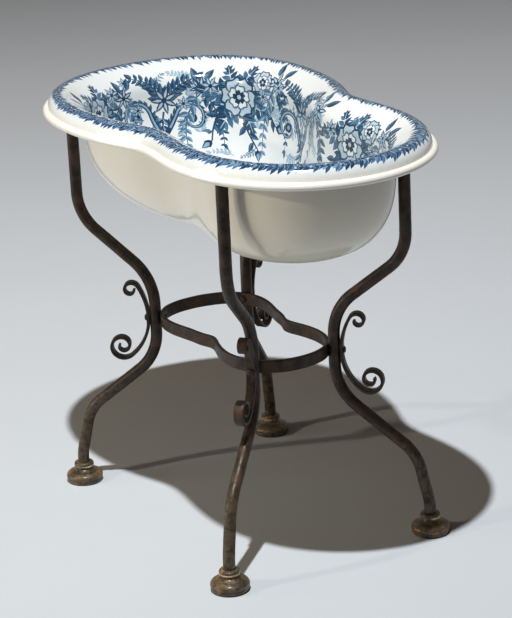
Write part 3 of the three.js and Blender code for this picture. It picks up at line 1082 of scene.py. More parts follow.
@dataclass
class Basin:
    """The earthenware basin: flange, rolled rim with a bead, and the printed bowl."""

    rim: ViolinOutline = field(default_factory=lambda: ViolinOutline(511, 264, 3.4, -2.9, -14.9))
    crest_height: float = 465.0
    crest_radius: float = 14.0
    flange_fall: float = 38.0
    skirt_depth: float = 18.5
    bead_radius: float = 4.0
    bead_reach: float = 1.8
    bead_top: float = 115.0
    wall: float = 7.0
    wall_inset: float = 28.0
    bowl_top_drop: float = 25.0
    bowl_depth: float = 125.5
    bowl_inset: float = 102.0
    bowl_squareness: float = 2.6
    bottom_radius_x: float = 1000.0
    bottom_radius_y: float = 4000.0
    bottom_tilt: float = 0.05
    columns: int = 264
    wall_rows: int = 26
    bead_rows: int = 18
    bottom_shares: tuple[float, ...] = (0.85, 0.65, 0.42, 0.2)
    skirt_inside: float = 0.4
    bead_inside: float = 0.25
    glaze_sink: float = 0.05
    shift_y: float = 14.9

    @property
    def crest_inset(self) -> float:
        """How far the crest sits inside the crest line."""
        return self.crest_radius / 3

    @property
    def crest_centre(self) -> float:
        """Height of the centre of the rounded crest."""
        return self.crest_height - self.crest_radius

    @property
    def under_radius(self) -> float:
        """Roundness of the underside of the rim."""
        return self.crest_radius - self.wall

    @property
    def bowl_top(self) -> float:
        """Height at which the bowl's wall begins."""
        return self.crest_height - self.bowl_top_drop - self.wall

    def slope_height(self, radius: float, x: float) -> float:
        """Height of the flange's slope.

        Args:
            radius: crest_radius for the upper face, under_radius for the lower one.
            x: distance outside the crest line.

        Returns:
            The height.
        """
        fall = math.radians(90 + self.flange_fall)
        along = x + self.crest_inset - radius * math.cos(fall)
        return self.crest_centre + radius * math.sin(fall) + along * math.tan(math.radians(self.flange_fall))

    def upper_section(self) -> np.ndarray:
        """Section from the groove above the bead, over the crest, to the top of the inner wall.

        Returns:
            Rows of distance outside the crest line and height.
        """
        inner = -self.wall_inset - self.wall
        corner = inner + self.wall
        centre = (-self.crest_inset, self.crest_centre)
        crest = arc(centre, self.crest_radius, 0, 90 + self.flange_fall, 22)
        slope_end = (corner, self.slope_height(self.crest_radius, corner))
        slope = np.linspace(crest[-1], slope_end, 8)
        control = (inner, self.slope_height(self.crest_radius, inner))
        bend = corner_curve(slope_end, control, (inner, self.bowl_top), 9)
        return join_runs(crest, slope, bend)

    def lower_section(self) -> np.ndarray:
        """Section from the groove round the bead and the rim's underside to the top of the outer wall.

        Returns:
            Rows of distance outside the crest line and height.
        """
        skirt = self.crest_radius - self.crest_inset
        underside = self.under_radius - self.crest_inset
        bead_y = self.crest_height - self.skirt_depth
        bead_centre = (skirt + self.bead_reach, bead_y)
        bead_bottom = bead_y - self.bead_radius
        bead = arc(bead_centre, self.bead_radius, self.bead_top, -90, 18)
        behind = (skirt - self.bead_radius, bead_bottom)
        back = corner_curve(behind, (underside, bead_bottom), (underside, bead_y), 4)
        groove = np.array([[skirt, self.crest_centre]])
        outer = -self.wall_inset
        centre = (-self.crest_inset, self.crest_centre)
        round_in = arc(centre, self.under_radius, 0, 90 + self.flange_fall, 10)
        corner = (outer + self.wall, self.slope_height(self.under_radius, outer + self.wall))
        control = (outer, self.slope_height(self.under_radius, outer))
        bend = corner_curve(corner, control, (outer, self.bowl_top), 7)
        return join_runs(groove, bead, back, round_in, np.array([corner]), bend)

    def bowl_level(self, angle: np.ndarray, lean: float, inset: float) -> np.ndarray:
        """One closed level of the bowl.

        Args:
            angle: angles round the outline.
            lean: from 0 at the wall's top to a quarter turn at the bottom's edge.
            inset: 0 for the outer face, the wall's thickness for the inner one.

        Returns:
            Rows of x, y and z.
        """
        power = 2 / self.bowl_squareness
        top = self.rim.plan(angle, np.full_like(angle, -self.wall_inset - inset))
        reach = np.linalg.norm(top, axis=1)
        slimness = np.sqrt(2 * reach / self.rim.length)
        drawn_in = self.bowl_inset * slimness * (1 - math.cos(lean) ** power)
        plan = top * (1 - drawn_in / reach)[:, None]
        depth = math.sin(lean) ** power
        height = self.bowl_top * (1 - depth) + self.bottom_height(plan, inset) * depth
        return np.column_stack([plan, height])

    def bottom_height(self, plan: np.ndarray, inset: float) -> np.ndarray:
        """Height of the bottom's face at each point in plan.

        Args:
            plan: rows of x and y.
            inset: height of the face above the bottom's outer one.

        Returns:
            The heights.
        """
        x, y = plan[:, 0], plan[:, 1]
        crown = x ** 2 / (2 * self.bottom_radius_x) + y ** 2 / (2 * self.bottom_radius_y)
        return self.crest_height - self.bowl_depth + crown + self.bottom_tilt * y + inset

    def bottom_level(self, angle: np.ndarray, share: float, inset: float) -> np.ndarray:
        """One closed level of the bottom, a share of the way out from its middle."""
        plan = self.bowl_level(angle, math.pi / 2, inset)[:, :2] * share
        return np.column_stack([plan, self.bottom_height(plan, inset)])

    def section_levels(self, angle: np.ndarray, section: np.ndarray) -> list[np.ndarray]:
        """Closed levels of a section that follows the rim.

        Args:
            angle: angles round the outline.
            section: rows of distance outside the crest line and height.

        Returns:
            Rows of x, y and z for each level.
        """
        return [
            np.column_stack([self.rim.plan(angle, np.full_like(angle, x)), np.full_like(angle, z)])
            for x, z in section
        ]

    def leans(self, rows: int) -> list[float]:
        """Leans of the bowl's levels below its top, closer together where it bends most."""
        return [math.pi / 2 * (i / rows) ** 1.15 for i in range(1, rows + 1)]

    def lower_levels(self) -> list[np.ndarray]:
        """Closed levels of the lower face, from the bead to near the middle of the bottom.

        Returns:
            Rows of x, y and z for each level.
        """
        angle = np.arange(self.columns) * TAU / self.columns
        levels = self.section_levels(angle, self.lower_section()[1:])
        levels += [self.bowl_level(angle, lean, 0.0) for lean in self.leans(self.wall_rows)]
        return levels + [self.bottom_level(angle, share, 0.0) for share in self.bottom_shares]

    def lower_faces(self, printed: int, levels: int) -> list[tuple[int, ...]]:
        """Faces of the lower face.

        Args:
            printed: points in the upper face, whose outer edge they join.
            levels: closed levels in the lower face.

        Returns:
            Lists of point numbers.
        """
        count = self.columns
        faces = join_ring(0, printed, count)
        for row in range(levels - 1):
            faces += join_ring(printed + row * count, printed + (row + 1) * count, count)
        pole = printed + levels * count
        last = pole - count
        return faces + [(last + c, last + (c + 1) % count, pole) for c in range(count)]

    def build(self, glaze: Material) -> Object:
        """Builds the basin with its print.

        Args:
            glaze: the finish.

        Returns:
            The basin.
        """
        drawing = PrintDrawing(WallChart(self))
        drawing.draw()
        upper = drawing.cut_into_wall(self.columns)
        levels = self.lower_levels()
        middle = self.bottom_level(np.zeros(1), 0.0, 0.0)
        points = np.concatenate([upper.points, *levels, middle]) + (0.0, self.shift_y, -self.glaze_sink)
        mesh = mesh_from("basin", points, upper.faces + self.lower_faces(len(upper.points), len(levels)))
        mesh.shade_smooth()
        self.mark(mesh, upper)
        even = np.array([tuple(v.normal) for v in mesh.vertices])
        even[self.columns:len(upper.points)] = upper.normals[self.columns:]
        mesh.normals_split_custom_set_from_vertices(even.tolist())
        mesh.materials.append(glaze)
        return new_object("basin_printed", mesh)

    def mark(self, mesh: Mesh, upper: PrintedFace) -> None:
        """Stores what the glaze reads: the print, its haze, and where the inside is.

        Args:
            mesh: the basin.
            upper: its upper face.
        """
        printed = len(upper.points)
        shown = np.zeros((len(mesh.polygons), 3), np.float32)
        shown[:len(upper.prints), :2] = upper.prints
        add_attribute(mesh, "print", "FLOAT_VECTOR", "FACE", shown)
        inside = np.zeros(len(mesh.vertices))
        inside[:printed] = self.skirt_inside + (1 - self.skirt_inside) * upper.past_skirt
        inside[printed:printed + self.bead_rows * self.columns] = self.bead_inside
        add_attribute(mesh, "inside", "FLOAT", "POINT", inside)
        haze = np.zeros(len(mesh.vertices))
        haze[:printed] = upper.haze
        add_attribute(mesh, "bleed", "FLOAT", "POINT", haze)


class WallChart:
    """The basin's upper face laid out flat, so that the print can be drawn on it.

    The flat sheet is round: the bottom lies in the middle as seen in plan, and the wall, the
    flange and the crest are unrolled outward from it by their own length. A place on it is
    an angle and a run, the distance from the groove above the bead, over the crest and down.
    """

    columns = 720
    wall_rows = 60
    lifted_at_once = 8000

    def __init__(self, basin: Basin) -> None:
        """Measures the upper face on a fine grid.

        Args:
            basin: the basin.
        """
        self.basin = basin
        angle = np.arange(self.columns) * TAU / self.columns
        levels = basin.section_levels(angle, basin.upper_section())
        levels += [basin.bowl_level(angle, lean, basin.wall) for lean in basin.leans(self.wall_rows)]
        self.grid = np.stack(levels, 1)
        lengths = np.linalg.norm(np.diff(self.grid, axis=1), axis=2)
        self.run = np.concatenate([np.zeros((self.columns, 1)), np.cumsum(lengths, axis=1)], 1)
        self.edge_run = self.run[:, -1]
        self.edge_reach = np.linalg.norm(self.grid[:, -1, :2], axis=1)
        ahead = np.roll(self.grid, -1, axis=0) - np.roll(self.grid, 1, axis=0)
        self.girth = np.linalg.norm(ahead, axis=2) / (2 * TAU / self.columns)
        down = np.gradient(self.grid, axis=1)
        normal = np.cross(down, ahead)
        self.normal = normal / np.linalg.norm(normal, axis=2, keepdims=True)

    def between(self, table: np.ndarray, angle: np.ndarray) -> np.ndarray:
        """Reads a table of columns at any angle.

        Args:
            table: one row for each column of the grid.
            angle: the angles.

        Returns:
            One row for each angle, drawn straight between the columns on either side.
        """
        place = np.mod(np.asarray(angle, float) / TAU * self.columns, self.columns)
        low = np.floor(place).astype(int) % self.columns
        share = (place - np.floor(place)).reshape((-1,) + (1,) * (table.ndim - 1))
        return table[low] * (1 - share) + table[(low + 1) % self.columns] * share

    def flat(self, angle: float, run: float) -> Point:
        """Place on the flat sheet of an angle and a run."""
        total = float(self.between(self.edge_reach + self.edge_run, np.array([angle]))[0])
        return (total - run) * math.sin(angle), (total - run) * math.cos(angle)

    def run_at(self, flat: np.ndarray) -> np.ndarray:
        """Runs of places on the flat sheet."""
        angle = np.arctan2(flat[:, 0], flat[:, 1])
        return self.between(self.edge_reach + self.edge_run, angle) - np.hypot(flat[:, 0], flat[:, 1])

    def girth_at(self, angle: float, run: float) -> float:
        """Millimetres round the basin for each radian, at an angle and a run."""
        column = round(angle / TAU * self.columns) % self.columns
        return float(np.interp(run, self.run[column], self.girth[column]))

    def lift(self, flat: np.ndarray) -> tuple[np.ndarray, np.ndarray]:
        """Takes places on the flat sheet back to the basin.

        Args:
            flat: rows of x and y.

        Returns:
            Points on the basin and the directions that they face.
        """
        count = self.lifted_at_once
        parts = [self.lift_part(flat[i:i + count]) for i in range(0, len(flat), count)]
        return np.concatenate([p for p, _ in parts]), np.concatenate([n for _, n in parts])

    def lift_part(self, flat: np.ndarray) -> tuple[np.ndarray, np.ndarray]:
        """Does lift for a few thousand places, as the tables read for them are large.

        Args:
            flat: rows of x and y.

        Returns:
            Points on the basin and the directions that they face.
        """
        angle = np.arctan2(flat[:, 0], flat[:, 1])
        reach = np.hypot(flat[:, 0], flat[:, 1])
        edge_reach = self.between(self.edge_reach, angle)
        edge_run = self.between(self.edge_run, angle)
        run = np.clip(edge_reach + edge_run - reach, 0, edge_run)
        runs = self.between(self.run, angle)
        row = np.clip((runs <= run[:, None]).sum(1) - 1, 0, runs.shape[1] - 2)
        each = np.arange(len(flat))
        start, end = runs[each, row], runs[each, row + 1]
        share = ((run - start) / np.maximum(end - start, 1e-9))[:, None]
        grid = self.between(self.grid, angle)
        normals = self.between(self.normal, angle)
        point = grid[each, row] * (1 - share) + grid[each, row + 1] * share
        normal = normals[each, row] * (1 - share) + normals[each, row + 1] * share
        on_bottom = reach < edge_reach
        part = (reach / edge_reach)[on_bottom, None]
        plan = grid[on_bottom, -1, :2] * part
        height = self.basin.bottom_height(plan, self.basin.wall)
        point[on_bottom] = np.column_stack([plan, height])
        upright = np.column_stack([
            -plan[:, 0] / self.basin.bottom_radius_x,
            -plan[:, 1] / self.basin.bottom_radius_y - self.basin.bottom_tilt,
            np.ones(len(plan)),
        ])
        normal[on_bottom] = normal[on_bottom] * part ** 6 + upright * (1 - part ** 6)
        return point, normal / np.linalg.norm(normal, axis=1, keepdims=True)


@dataclass
class Spot:
    """A small frame on the chart that a motif is drawn in. Its +X runs round the basin, +Y down."""

    chart: WallChart
    angle: float
    run: float
    turn: float = 0.0
    size: float = 1.0
    mirror: bool = False

    def place(self, x: float, y: float) -> Point:
        """Place on the flat sheet of a point in the frame.

        Args:
            x: the point in the frame.
            y: the point in the frame.

        Returns:
            The place.
        """
        along, down = swung(self, x, y)
        run = self.run + down
        level = min(run, self.run + 0.6 * down)
        angle = self.angle + along / self.chart.girth_at(self.angle, max(level, 0.0))
        return self.chart.flat(angle, run)


@dataclass
class FloorSpot:
    """A small frame on the bottom of the bowl, as seen in plan."""

    x: float
    y: float
    turn: float = 0.0
    size: float = 1.0
    mirror: bool = False

    def place(self, x: float, y: float) -> Point:
        """Place on the flat sheet of a point in the frame."""
        return swung(self, x, y, self.x, self.y)


def swung(spot: Spot | FloorSpot, x: float, y: float, start_x: float = 0.0, start_y: float = 0.0) -> Point:
    """Mirrors, sizes and turns a point as a frame asks for, and moves it from the start.

    Args:
        spot: the frame.
        x: the point in the frame.
        y: the point in the frame.
        start_x: where the frame's origin lies.
        start_y: where the frame's origin lies.

    Returns:
        The point.
    """
    if spot.mirror:
        x = -x
    cos, sin = math.cos(spot.turn) * spot.size, math.sin(spot.turn) * spot.size
    return start_x + x * cos - y * sin, start_y + x * sin + y * cos


def spin(points: Iterable[Point], angle: float, at: Point) -> list[Point]:
    """Turns points about the origin, then moves them."""
    cos, sin = math.cos(angle), math.sin(angle)
    return [(at[0] + a * cos - b * sin, at[1] + a * sin + b * cos) for a, b in points]


def round_shape(at: Point, radius: float, sides: int) -> list[Point]:
    """Outline of a round about a point."""
    turns = [TAU * i / sides for i in range(sides)]
    return [(at[0] + radius * math.cos(turn), at[1] + radius * math.sin(turn)) for turn in turns]


def signed_area(outline: np.ndarray) -> float:
    """Area inside an outline, below 0 for one that runs clockwise."""
    ahead = np.roll(outline, -1, axis=0)
    return float(np.sum(outline[:, 0] * ahead[:, 1] - ahead[:, 0] * outline[:, 1])) / 2


def leaf_shape(length: float, width: float, bend: float = 0.0, low: float = -1.0, high: float = 1.0,
               steps: int = 4) -> list[Point]:
    """Outline of a pointed leaf along +X, or of a part of its width.

    Args:
        length: stalk to tip.
        width: at its widest.
        bend: sideways sweep of the tip, as a share of the length.
        low: lower edge, from -1 to 1 of the half width.
        high: upper edge.
        steps: steps along each edge.

    Returns:
        The outline.
    """
    def edge(t: float, side: float) -> Point:
        """Point on one edge, a share of the way to the tip."""
        half = width / 2 * math.sin(math.pi * t ** 0.8) * side
        return length * t, bend * length * t * t + half

    up = [edge(i / steps, high) for i in range(steps + 1)]
    down = [edge(i / steps, low) for i in range(steps - 1, 0, -1)]
    return up + down


def petal_shape(length: float, width: float, steps: int = 4) -> list[Point]:
    """Outline of a round-ended petal along +X, with a shallow notch at its tip.

    Args:
        length: foot to tip.
        width: at its widest.
        steps: steps along each edge.

    Returns:
        The outline.
    """
    side = []
    for i in range(1, steps + 1):
        t = i / steps
        half = width / 2 * math.sin(math.pi * (0.10 + 0.68 * t) ** 1.1)
        side.append((length * (t ** 0.85), half))
    tip = [(length * 0.93, 0.0)]
    return [(0.0, 0.0)] + side + tip + [(x, -y) for x, y in reversed(side)]


def ribbon_shape(line: Sequence[Point], start: float, end: float) -> list[Point]:
    """Outline of a stroke along a line, with a width at each end.

    Args:
        line: the line.
        start: width at its first point.
        end: width at its last.

    Returns:
        The outline.
    """
    left, right = [], []
    last = len(line) - 1
    for i, (x, y) in enumerate(line):
        ahead = line[min(i + 1, last)]
        behind = line[max(i - 1, 0)]
        dx, dy = ahead[0] - behind[0], ahead[1] - behind[1]
        size = math.hypot(dx, dy) or 1.0
        half = (start + (end - start) * i / last) / 2
        left.append((x - dy / size * half, y + dx / size * half))
        right.append((x + dy / size * half, y - dx / size * half))
    return left + right[::-1]


def curl_line(start: float, sweep: float, outer: float, inner: float, steps: int) -> list[Point]:
    """Points along a spiral about the origin, in degrees, from its outer end.

    Args:
        start: angle of its outer end.
        sweep: how far it winds.
        outer: radius where it begins.
        inner: radius where it ends.
        steps: steps along it.

    Returns:
        The points.
    """
    return [
        (
            (outer + (inner - outer) * i / steps) * math.cos(math.radians(start + sweep * i / steps)),
            (outer + (inner - outer) * i / steps) * math.sin(math.radians(start + sweep * i / steps)),
        )
        for i in range(steps + 1)
    ]


def bow_line(x: float, y: float, bow: float, steps: int = 6) -> list[Point]:
    """Points from the origin to a place, bowed to one side by a share of the distance."""
    control = (x / 2 - y * bow, y / 2 + x * bow)
    return [tuple(p) for p in corner_curve((0.0, 0.0), control, (x, y), steps)]


class PrintDrawing:
    """The blue print: a feathered border on the rim, and flower sprays and scrolls in the bowl.

    Every motif is drawn in the frame that spot holds at the time, over what is there already.
    """

    grid_columns = 198
    grid_runs = (
        2.2, 4.6, 7, 9.4, 11.8, 14.2, 16.6, 19, 21.4, 23.8, 26.2, 28.6, 31, 34, 38, 43, 48, 51, 54,
        57, 60, 64, 69, 74, 80, 86, 92, 98, 104, 110, 116, 122, 128, 134, 140,
    )
    bottom_rings = 12
    merge_distance = 1e-4
    straight_within = 0.012
    border_strokes = 350
    border_run = 18.0
    strong_tones = (0.62, 0.82, 0.96)
    weak_tones = (0.5, 0.78)
    haze_run = 16.0
    haze_width = 9.5
    seed = 11

    def __init__(self, chart: WallChart) -> None:
        """Starts an empty drawing.

        Args:
            chart: the sheet that it is drawn on.
        """
        self.chart = chart
        self.spot: Spot | FloorSpot = FloorSpot(0, 0)
        self.random = random.Random(self.seed)
        self.shapes: list[tuple[list[Point], float, float]] = []

    def paint(self, outline: Iterable[Point], ink: Ink | float, border: float = 0.0) -> None:
        """Adds one shape over those before it.

        Args:
            outline: its outline.
            ink: its tone.
            border: 1 for the rim's bluer ink.
        """
        tone = ink.value if isinstance(ink, Ink) else ink
        placed = [self.spot.place(x, y) for x, y in outline]
        if signed_area(np.array(placed)) < 0:
            placed.reverse()
        self.shapes.append((placed, tone, border))

    def put(self, outline: Iterable[Point], turn: float, at: Point, ink: Ink) -> None:
        """Adds a shape that is turned and moved first."""
        self.paint(spin(outline, turn, at), ink)

    def stem(self, line: Sequence[Point], start: float, end: float, ink: Ink = Ink.DARK) -> None:
        """A stem that tapers from one width to another."""
        self.paint(ribbon_shape(line, start, end), ink)

    def leaf(self, at: Point, turn: float, length: float, width: float,
             ink: Ink = Ink.DARK, light: Ink = Ink.MIDDLE) -> None:
        """A leaf with a light and a dark half.

        Args:
            at: its foot.
            turn: the way that it points.
            length: foot to tip.
            width: at its widest.
            ink: tone of the dark half.
            light: tone of the light half.
        """
        bend = self.random.uniform(-0.18, 0.18)
        self.put(leaf_shape(length, width, bend), turn, at, ink)
        self.put(leaf_shape(length * 0.94, width * 0.8, bend, 0.12, 1.0, 3), turn, at, light)

    def toothed_leaf(self, at: Point, turn: float, length: float) -> None:
        """A large cut leaf: lobes down both sides of a rib, and a lobe at the tip.

        Args:
            at: its foot.
            turn: the way that it points.
            length: foot to tip.
        """
        for i in range(4):
            foot = spin([(length * (0.12 + 0.2 * i), 0.0)], turn, at)[0]
            lobe = length * (0.46 - 0.07 * i)
            for side, ink in ((-1, Ink.MIDDLE), (1, Ink.DARK)):
                lean = side * math.radians(52 - 7 * i)
                self.put(leaf_shape(lobe, lobe * 0.5, 0.1 * side, steps=3), turn + lean, foot, ink)
        tip = spin([(length * 0.55, 0.0)], turn, at)[0]
        self.put(leaf_shape(length * 0.45, length * 0.2, steps=3), turn, tip, Ink.DARK)
        rib = spin([(0.0, 0.0), (length * 0.45, 0.0), (length * 0.88, 0.0)], turn, at)
        self.stem(rib, length * 0.05, 0.3, Ink.MIST)

    def rose(self, at: Point, radius: float) -> None:
        """A full round flower with two rings of pale petals and a dark heart.

        Args:
            at: its middle.
            radius: its size.
        """
        turn = self.random.uniform(0, TAU)
        for i in range(6):
            angle = turn + TAU * i / 6
            self.put(petal_shape(radius, radius * 0.98), angle, at, Ink.DARK)
            self.put(petal_shape(radius * 0.9, radius * 0.80), angle, at, Ink.MIST)
            vein = spin([(radius * 0.3, 0.0), (radius * 0.68, radius * 0.03)], angle, at)
            self.stem(vein, radius * 0.13, radius * 0.03, Ink.PALE)
        for i in range(5):
            angle = turn + 0.4 + TAU * i / 5
            self.put(petal_shape(radius * 0.62, radius * 0.62), angle, at, Ink.MIDDLE)
            self.put(petal_shape(radius * 0.54, radius * 0.46), angle, at, Ink.BARE)
        for i in range(5):
            self.put(petal_shape(radius * 0.36, radius * 0.3, 3), turn + TAU * i / 5, at, Ink.FULL)
        self.paint(round_shape(at, radius * 0.12, 6), Ink.MIST)

    def daisy(self, at: Point, radius: float, ink: Ink = Ink.MIDDLE) -> None:
        """A small flower of narrow petals.

        Args:
            at: its middle.
            radius: its size.
            ink: tone of the petals' edges.
        """
        turn = self.random.uniform(0, TAU)
        for i in range(7):
            angle = turn + TAU * i / 7
            self.put(leaf_shape(radius, radius * 0.42, steps=3), angle, at, ink)
            self.put(leaf_shape(radius * 0.86, radius * 0.2, steps=2), angle, at, Ink.MIST)
        self.paint(round_shape(at, radius * 0.22, 6), Ink.FULL)

    def bud(self, at: Point, turn: float, size: float) -> None:
        """A closed bud with two sepals.

        Args:
            at: its foot.
            turn: the way that it points.
            size: foot to tip.
        """
        self.put(leaf_shape(size, size * 0.55), turn, at, Ink.DARK)
        self.put(leaf_shape(size * 0.92, size * 0.34), turn, at, Ink.PALE)
        for side in (-1, 1):
            sepal = leaf_shape(size * 0.6, size * 0.24, 0.25 * side, steps=3)
            self.put(sepal, turn + 0.35 * side, at, Ink.FULL)

    def sprig(self, at: Point, reach: Point, bow: float, leaf: float, ink: Ink, light: Ink,
              pairs: int = 8) -> None:
        """A bowed stem with leaves down both sides.

        Args:
            at: start of the stem.
            reach: from its start to its tip.
            bow: how much it bows.
            leaf: length of its longest leaf.
            ink: dark tone.
            light: tone of the leaves' light half.
            pairs: how many pairs of leaves.
        """
        line = [(at[0] + a, at[1] + b) for a, b in bow_line(*reach, bow, pairs)]
        self.stem(line, leaf * 0.16, leaf * 0.06, ink)
        for i, (a, b) in enumerate(zip(line, line[1:]), 1):
            along = math.atan2(b[1] - a[1], b[0] - a[0])
            size = leaf * (1 - 0.55 * i / len(line)) * self.random.uniform(0.85, 1.1)
            for side in (-1, 1):
                self.leaf(b, along + side * math.radians(48), size, size * 0.5, ink, light)
        self.leaf(line[-1], math.atan2(reach[1], reach[0]), leaf * 0.7, leaf * 0.36, ink, light)

    def scroll(self, at: Point, turn: float, size: float, hand: int) -> None:
        """A leafy scroll: a thick curl with lobes along its back.

        Args:
            at: centre of the curl.
            turn: the way that its tail points.
            size: radius of its outer turn.
            hand: 1 or -1, the way that it winds.
        """
        curl = [(a, b * hand) for a, b in curl_line(0, 400, size, size * 0.26, 20)]
        tail = [(size + size * 0.22 * t * t, -hand * size * 1.5 * t) for t in (1.0, 0.75, 0.5, 0.25)]
        line = spin(tail + curl, turn, at)
        for i in range(1, 13):
            a, b = line[i], line[i + 1]
            along = math.atan2(b[1] - a[1], b[0] - a[0])
            lobe = size * (0.62 - 0.025 * i)
            self.leaf(a, along - hand * math.radians(38), lobe, lobe * 0.46)
        self.stem(line, size * 0.34, size * 0.1)
        self.stem(line[1:-2], size * 0.12, size * 0.04, Ink.PALE)
        self.paint(round_shape(at, size * 0.3, 8), Ink.FULL)
        self.paint(round_shape(at, size * 0.14, 6), Ink.PALE)

    def background(self) -> None:
        """Faint sprigs that fill the ground between the sprays."""
        pick = self.random.uniform
        for run, count in ((60.0, 26), (84.0, 24), (108.0, 20), (132.0, 16), (154.0, 12)):
            for i in range(count):
                angle = TAU * (i + pick(-0.3, 0.3)) / count
                self.spot = Spot(self.chart, angle, run + pick(-9, 9), pick(0, TAU))
                reach = (pick(22, 34), pick(-8, 8))
                tone = self.random.choice((Ink.PALE, Ink.PALE, Ink.MIDDLE))
                leaf = pick(8, 11)
                self.sprig((0, 0), reach, pick(-0.3, 0.3), leaf, tone, Ink.MIST, 6)

    def rose_spray(self) -> None:
        """A large flower between cut leaves, with buds on drooping stems."""
        for turn, length in ((-0.35, 34), (0.55, 30), (1.3, 27), (2.35, 31), (3.5, 33), (4.4, 24), (5.3, 25)):
            self.toothed_leaf((9 * math.cos(turn), 9 * math.sin(turn)), turn, length)
        for x, y, bow in ((38, 26, -0.25), (-34, 34, 0.3), (12, 46, 0.2)):
            line = bow_line(x, y, bow)
            self.stem(line, 2.6, 1.5)
            self.bud(line[-1], math.atan2(y, x) + bow, 13)
            for step, side in ((2, -1), (3, 1), (4, -1), (5, 1)):
                self.leaf(line[step], math.atan2(y, x) + side * 0.9, 12, 5.4)
        self.rose((0, 0), 17.5)
        self.rose((27, -11), 11)
        self.daisy((-24, -13), 9)

    def scroll_spray(self) -> None:
        """Two leafy scrolls back to back, with a flower where they meet and ferns above."""
        self.sprig((0, 0), (30, -26), -0.25, 13, Ink.DARK, Ink.MIDDLE)
        self.sprig((0, 0), (-31, -24), 0.25, 13, Ink.DARK, Ink.MIDDLE)
        self.sprig((0, 6), (4, 48), 0.12, 12, Ink.DARK, Ink.PALE)
        self.scroll((27, 10), math.radians(200), 15, 1)
        self.scroll((-27, 12), math.radians(-20), 15, -1)
        self.daisy((0, -4), 13, Ink.DARK)
        self.daisy((38, -22), 7)
        self.daisy((-40, -20), 7)

    def fern_drop(self) -> None:
        """Hanging ferns with small flowers."""
        self.sprig((0, -18), (16, 52), -0.22, 11, Ink.MIDDLE, Ink.PALE)
        self.sprig((0, -18), (-15, 46), 0.22, 10, Ink.DARK, Ink.MIDDLE)
        self.daisy((0, -20), 10, Ink.DARK)
        self.daisy((15, -8), 6.5)
        self.bud((-12, -12), 2.6, 10)
        self.leaf((3, -26), -1.2, 14, 6)
        self.leaf((-3, -26), -2.2, 13, 6)

    def wall_sprays(self) -> None:
        """The main sprays round the wall, alternating, each turned and sized a little differently."""
        fern, rose, scroll = self.fern_drop, self.rose_spray, self.scroll_spray
        plans: list[tuple[float, float, Callable[[], None], float]] = [
            (6, 84, scroll, 1.3), (20, 96, fern, 1.4), (35, 78, rose, 1.35), (54, 84, fern, 1.5),
            (78, 80, scroll, 1.3), (103, 84, fern, 1.5), (126, 78, rose, 1.3), (143, 90, fern, 1.5),
            (158, 80, scroll, 1.3), (172, 98, fern, 1.3), (186, 80, rose, 1.25), (206, 82, scroll, 1.3),
            (228, 80, rose, 1.3), (252, 84, fern, 1.5), (276, 80, scroll, 1.3), (300, 82, rose, 1.3),
            (320, 88, fern, 1.5), (336, 78, rose, 1.25), (350, 94, fern, 1.3),
        ]
        for i, (degrees, run, draw, size) in enumerate(plans):
            turn = math.radians(self.random.uniform(-14, 14))
            self.spot = Spot(self.chart, math.radians(degrees), run, turn, size, i % 2 == 1)
            draw()

    def floor_sprays(self) -> None:
        """Sprays on the bottom of the bowl."""
        self.spot = FloorSpot(0, 66, 0.4, 1.3)
        self.rose_spray()
        self.spot = FloorSpot(0, -14, 1.2, 0.9)
        self.scroll_spray()
        self.spot = FloorSpot(2, -96, 3.4, 1.2, True)
        self.rose_spray()

    def feathered_border(self) -> None:
        """Short slanted leaf strokes in rows over the crest of the rim."""
        pick, choose = self.random.uniform, self.random.choice
        for i in range(self.border_strokes):
            angle = TAU * i / self.border_strokes
            nearness_to_end = abs(math.cos(angle)) ** 6
            spot = Spot(self.chart, angle + pick(-0.002, 0.002), self.border_run)
            slant = math.radians(pick(20, 52))
            out_length = pick(9, 13.5) - 1.6 * math.cos(angle)
            in_length = pick(10.5, 13.5) + 5 * nearness_to_end + 1.8 * math.sin(angle)
            up = -math.pi / 2 + slant
            down = math.pi / 2 - slant
            self.spot = spot
            self.stroke((0, 1.5), up, out_length + 0.6, 5.6, 0.3)
            self.stroke((0.2, 1.2), up, out_length, 4.8, choose(self.strong_tones))
            self.stroke((1.2, -2.0), down, in_length + 0.6, 5.4, 0.3)
            self.stroke((1.4, -1.8), down, in_length, 4.7, choose(self.strong_tones))
            self.spot = Spot(self.chart, angle + 0.5 * TAU / self.border_strokes, self.border_run)
            self.stroke((0, 1.0), up + 0.15, 0.74 * out_length, 4.4, choose(self.weak_tones))
            self.stroke((1.2, -1.6), down - 0.15, 0.72 * in_length, 4.2, choose(self.weak_tones))
            self.spot = spot
            lean = pick(-0.8, 0.8)
            middle = pick(-5.5, 5.0)
            self.stroke((0, middle), lean, 7.0, 2.6, 1.0)
            if i % 3 == 0:
                self.stroke((2.0, middle + 2.0), lean, 4.5, 1.7, 0.14)

    def stroke(self, at: Point, turn: float, length: float, width: float, ink: float) -> None:
        """One stroke of the border."""
        self.paint(spin(leaf_shape(length, width, 0.08, steps=3), turn, at), ink, 1.0)

    def draw(self) -> None:
        """Draws the whole print, back to front."""
        self.background()
        self.floor_sprays()
        self.wall_sprays()
        self.feathered_border()

